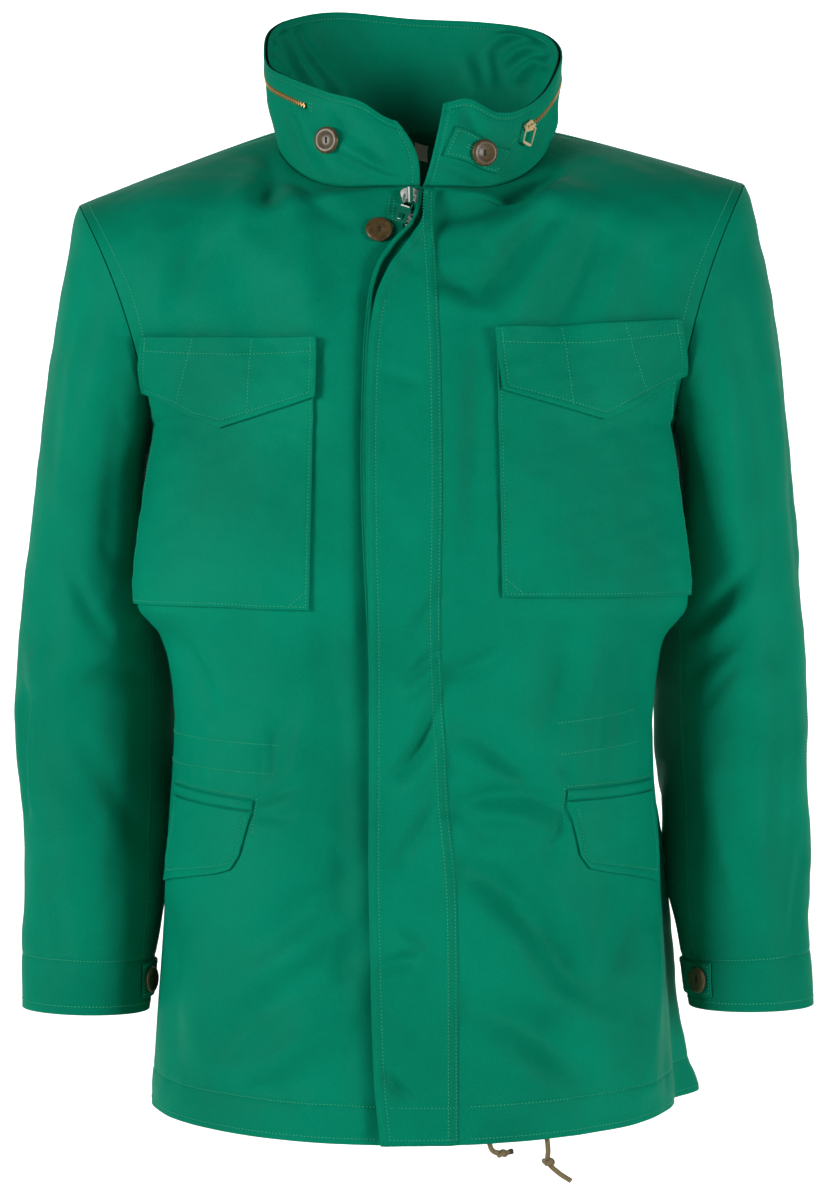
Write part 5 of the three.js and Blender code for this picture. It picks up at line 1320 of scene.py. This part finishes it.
# The collar's edge is topstitched all round, and its tab has an edge row and a buttonhole worked close in the
# same thread.
def below_edge(margin, low=16, high=344):
    degrees = np.linspace(low, high, 90)
    return [(d, 1 - margin / float(collar_height(d))) for d in degrees]


collar_lines = [run(collar_cloth, below_edge(COLLAR_ROW), -0.3, 8)]
collar_lines.append(run(collar_cloth, below_edge(5.5), inner_low - 0.05, 8))
for end, off in ((COLLAR_START, 3), (COLLAR_END, -3)):
    edge_line = [(float(collar_slope(end, h)) + off, h) for h in np.linspace(0.04, 0.9, 12)]
    collar_lines.append(run(collar_cloth, edge_line, -0.2, 12))
for d in (317.4, 318.4):
    collar_lines.append(run(collar_cloth, [(d, 0.72), (d, 0.82)], 0.05))
collar_lines.append(run(collar_cloth, [(38, 0.52), (46.5, 0.63)], 0.05))
collar_lines += inset(collar_tab_place, 48, 24, 2.6, 2.35)
sew("collar_stitching", collar_lines)
hole_on_tab = [run(collar_tab_place, [(0.3, 0.5 + off), (0.56, 0.5 + off)], 2.35) for off in (-0.05, 0.05)]
sew("collar_tab_buttonhole", hole_on_tab, pitch=1.0, length=1.6)

# Buttons: dished discs of streaked brown horn with a raised rim and two holes, one above the other, sewn on
# with dark green thread. The holes are near-black cups, walls and floor: painted shade for the dark inside
# them.
horn = shader("brown_horn", (0.085, 0.055, 0.02), 0.4, Coat_Weight=0.12, Coat_Roughness=0.12,
              Specular_IOR_Level=0.4)
horn_streaks = grain(horn, "Noise", Scale=140, Detail=5, Distortion=1.5)
shades(horn, horn_streaks.outputs["Fac"], (0.05, 0.03, 0.008), (0.12, 0.078, 0.028), 0.35, 0.7)
# Near-black for the buttons' holes: painted shade, standing in for the shadow inside each hole.
painted_hole_shade = shader("button_hole_painted_shade", (0.01, 0.007, 0.004), 0.7)
button_thread = shader("button_thread", (0.012, 0.03, 0.018), 0.8)
# A button's profile from the middle of its back, over the rim, to the middle of its face: radius and height.
BUTTON_FACE = 2.1
button_profile = [(7.4, 0), (9.6, 0.7), (10.3, 1.5), (10.2, 2.1), (9.7, 2.7), (8.9, 3.1), (8.0, 3.2),
                  (6.8, 3.05), (5.6, 2.7), (4.4, 2.4), (3.2, 2.2)]
hole_profile = [(1.25, 2.08), (1.0, 2.22), (0.8, 2.02)]  # shares of the hole's radius, and heights
HOLE_RADIUS, HOLE_OFF = 1.6, 2.6
BUTTON_SIDES, HOLE_SIDES = 56, 16


def turned(profile, sides, middle=0):
    """Rings of points about the axis at (0, middle), and the faces between them."""
    angles = np.linspace(0, 2 * np.pi, sides, endpoint=False)
    points = [[r * math.cos(a), middle + r * math.sin(a), h] for r, h in profile for a in angles]
    faces = []
    for j in range(len(profile) - 1):
        for k in range(sides):
            a, b = j * sides + k, j * sides + (k + 1) % sides
            faces.append([a, b, b + sides, a + sides])
    return points, faces


def button(name, place, a, b, lift):
    """A button on some cloth, at its own two numbers, with its back lifted from it."""
    z = unit(outward_at(place, a, b))
    x = unit(np.cross((0, 0, 1), z))
    axes = np.array([x, np.cross(z, x), z])
    at = place(a, b, lift)
    ring, ring_faces = turned(button_profile, BUTTON_SIDES)
    faces = [[0, 1 + (k + 1) % BUTTON_SIDES, 1 + k] for k in range(BUTTON_SIDES)]
    faces += [[1 + i for i in face] for face in ring_faces]
    last = 1 + (len(button_profile) - 1) * BUTTON_SIDES
    faces += [[last + k, last + (k + 1) % BUTTON_SIDES, len(ring) + 1] for k in range(BUTTON_SIDES)]
    local = np.array([[0, 0, 0]] + ring + [[0, 0, BUTTON_FACE]])
    disc = mesh_object(name + "_horn", at + local @ axes, faces, horn)
    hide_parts(name)
    # The two holes, walls and floor in painted shade.
    holes, hole_faces = [], []
    for off in (-HOLE_OFF, HOLE_OFF):
        first = len(holes)
        rim, rim_faces = turned([(HOLE_RADIUS * share, h) for share, h in hole_profile], HOLE_SIDES, off)
        holes += rim
        hole_faces += [[first + i for i in face] for face in rim_faces]
        hole_faces.append([first + 2 * HOLE_SIDES + k for k in range(HOLE_SIDES)])
    dark = mesh_object(name + "_holes", at + np.array(holes) @ axes, hole_faces, painted_hole_shade)
    pieces = [(disc, "button_horn"), (dark, "button_horn")]
    for letter, shift in (("a", -0.35), ("b", 0.35)):
        path = [[shift, -HOLE_OFF, 2.0], [shift, -HOLE_OFF * 0.6, 2.5], [shift, 0, 2.65],
                [shift, HOLE_OFF * 0.6, 2.5], [shift, HOLE_OFF, 2.0]]
        strand = tube(f"{name}_thread_{letter}", at + np.array(path) @ axes, 0.3, button_thread, 6)
        pieces.append((strand, "shell_cloth"))
    for piece, slot in pieces:
        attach(piece, "garment")


collar_buttons = {LEFT: (28, 0.42, 2.7), RIGHT: (326, 0.48, 0.5)}
for name, side in SIDES.items():
    button("collar_button_" + name, collar_cloth, *collar_buttons[side])
    button("cuff_button_" + name, sleeve_place(side), cuff_tabs[side]["button"], 0.955, 2.9)
button("front_button", front_point, -26, -94, 0.5)

# The zips' sliders and pulls are cast metal. The front's slider is white nickel with a lacquered green
# bridge, and a thin nickel strip along the bridge's crown is a painted highlight. Its pull is a lacquered
# green tab with a window, on a nickel link. The collar's slider and pull are plain brass, in the frame's own
# form.
lacquer = shader("green_lacquer", (0.0, 0.15, 0.085), 0.32, Coat_Weight=0.3, Coat_Roughness=0.15)
worn_brass = shader("pale_brass", (0.84, 0.66, 0.38), 0.3, Metallic=0.6)
for metal, scale in ((nickel, 60), (lacquer, 90), (worn_brass, 70), (brass, 70)):
    raise_surface(metal, grain(metal, "Noise", Scale=scale, Detail=6).outputs["Fac"], 0.15, 0.0003)
for node in ("collar_zip_slider", "collar_zip_pull"):
    for piece_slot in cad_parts[node].material_slots:
        piece_slot.material = worn_brass


def plate(name, loops, low, high, material, origin, axes, soft=0.2):
    """A cast plate with rounded edges, between two heights. Loops after the first are windows in it."""
    line = bpy.data.curves.new(name, "CURVE")
    line.dimensions = "2D"
    line.fill_mode = "BOTH"
    line.extrude = ((high - low) / 2 - soft) * MM
    line.bevel_depth = soft * MM
    line.bevel_resolution = 2
    line.offset = -soft * MM
    for loop in loops:
        spline = line.splines.new("POLY")
        spline.points.add(len(loop) - 1)
        spline.use_cyclic_u = True
        for spot, (x, y) in zip(spline.points, loop):
            spot.co = (x * MM, y * MM, 0, 1)
    blank = bpy.data.objects.new(name, line)
    cast = bpy.data.meshes.new_from_object(blank)
    local = np.array([v.co[:] for v in cast.vertices]) / MM + (0, 0, (low + high) / 2)
    faces = [list(p.vertices) for p in cast.polygons]
    bpy.data.objects.remove(blank)
    bpy.data.meshes.remove(cast)
    return mesh_object(name, origin + local @ axes, faces, material, smooth=False)


# The slider's own sizes: x across the chain, y up it and z out from the cloth.
SLIDER_Z = -67.2
slider_at = front_point(ZIP_X, SLIDER_Z, 0.5)
slider_out = unit(front_point(ZIP_X, SLIDER_Z, 1.5) - slider_at)
slider_up = unit(np.array([0, 0, 1]) - slider_out * slider_out[2])
slider_axes = np.array([np.cross(slider_up, slider_out), slider_up, slider_out])
dome = [(7.1 * math.cos(a), 2.2 + 4.4 * math.sin(a)) for a in np.linspace(0, math.pi, 25)]
shield = dome + [(-6.5, -0.8), (-5.1, -6.2), (-4.3, -6.3), (-2.9, -3.4), (2.9, -3.4), (4.3, -6.3),
                 (5.1, -6.2), (6.5, -0.8)]
bridge = [(-2.2, 5.6), (2.2, 5.6), (2.2, -5.6), (0.7, -9.6), (-1.6, -9.6), (-2.2, -5.6)]
slider_plates = {
    "shield": (shield, 1.4, 3.4, nickel),
    "underside": ([(-5.2, 5.6), (5.2, 5.6), (3.8, -4.6), (-3.8, -4.6)], 0, 1.5, nickel),
    "top_post": ([(-1.9, 4.5), (1.9, 4.5), (1.9, 5.6), (-1.9, 5.6)], 3.2, 5.8, lacquer),
    "low_post": ([(-1.9, -5.6), (1.9, -5.6), (1.9, -4.5), (-1.9, -4.5)], 0.5, 5.8, lacquer),
    "bridge": (bridge, 5.7, 7, lacquer),
    # A thin nickel strip on the bridge's crown: a painted highlight, where light catches the lacquer.
    "bridge_painted_highlight": ([(-1.8, 4.8), (-0.2, 4.8), (-0.5, -8.8), (-1.5, -8.8)], 6.8, 7.3, nickel),
}
for name, (loop, low, high, material) in slider_plates.items():
    piece = plate("front_slider_" + name, [loop], low, high, material, slider_at, slider_axes)
    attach(piece, "garment")
    if name == "shield":
        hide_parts("front_zip_slider")

# The pull hangs down its own -y from its crossbar, which turns under the bridge, and leans to the wearer's
# right. Thin nickel bars at the lower edges of its two windows are painted highlights, where light catches
# them.
PULL_LEAN = math.radians(-20)
PULL_AXLE = 4.4
lean_cos, lean_sin = math.cos(PULL_LEAN), math.sin(PULL_LEAN)
pull_axes = np.array([[lean_cos, lean_sin, 0], [-lean_sin, lean_cos, 0], [0, 0, 1]]) @ slider_axes
pull_at = slider_at + slider_out * PULL_AXLE
link = [(-5.4, 0.7), (5.4, 0.7), (5.4, -5.5), (4.5, -5.5), (4.5, -0.7), (-4.5, -0.7), (-4.5, -5.5),
        (-5.4, -5.5)]
foot = [(3.3 + 1.5 * math.sin(a), -25.5 - 1.5 * math.cos(a)) for a in np.linspace(math.pi / 2, 0, 6)]
tab_outline = [(5.4, -5.3)] + foot + [(-x, y) for x, y in foot[::-1]] + [
    (-5.4, -5.3), (-4.5, -5.3), (-4.1, -11.6), (4.1, -11.6), (4.5, -5.3)]
tab_window = [(-2.5, -18.6), (2.5, -18.6), (2.3, -24.2), (-2.3, -24.2)]
pull_plates = {
    "link": ([link], -0.6, 0.6, nickel),
    "tab": ([tab_outline, tab_window], -0.6, 0.6, lacquer),
    # Nickel bars at the lower edges of the two windows: painted highlights.
    "eyelet": ([[(-3.4, -11.4), (3.4, -11.4), (3.4, -12.6), (-3.4, -12.6)]], -0.7, 0.8, nickel),
    "window_foot": ([[(-2.4, -24.1), (0.2, -24.1), (0.2, -24.8), (-2.4, -24.8)]], -0.7, 0.7, nickel),
}
for name, (loops, low, high, material) in pull_plates.items():
    piece = plate("front_pull_" + name, loops, low, high, material, pull_at, pull_axes)
    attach(piece, "front_pull")
    if name == "tab":
        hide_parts("front_zip_pull")
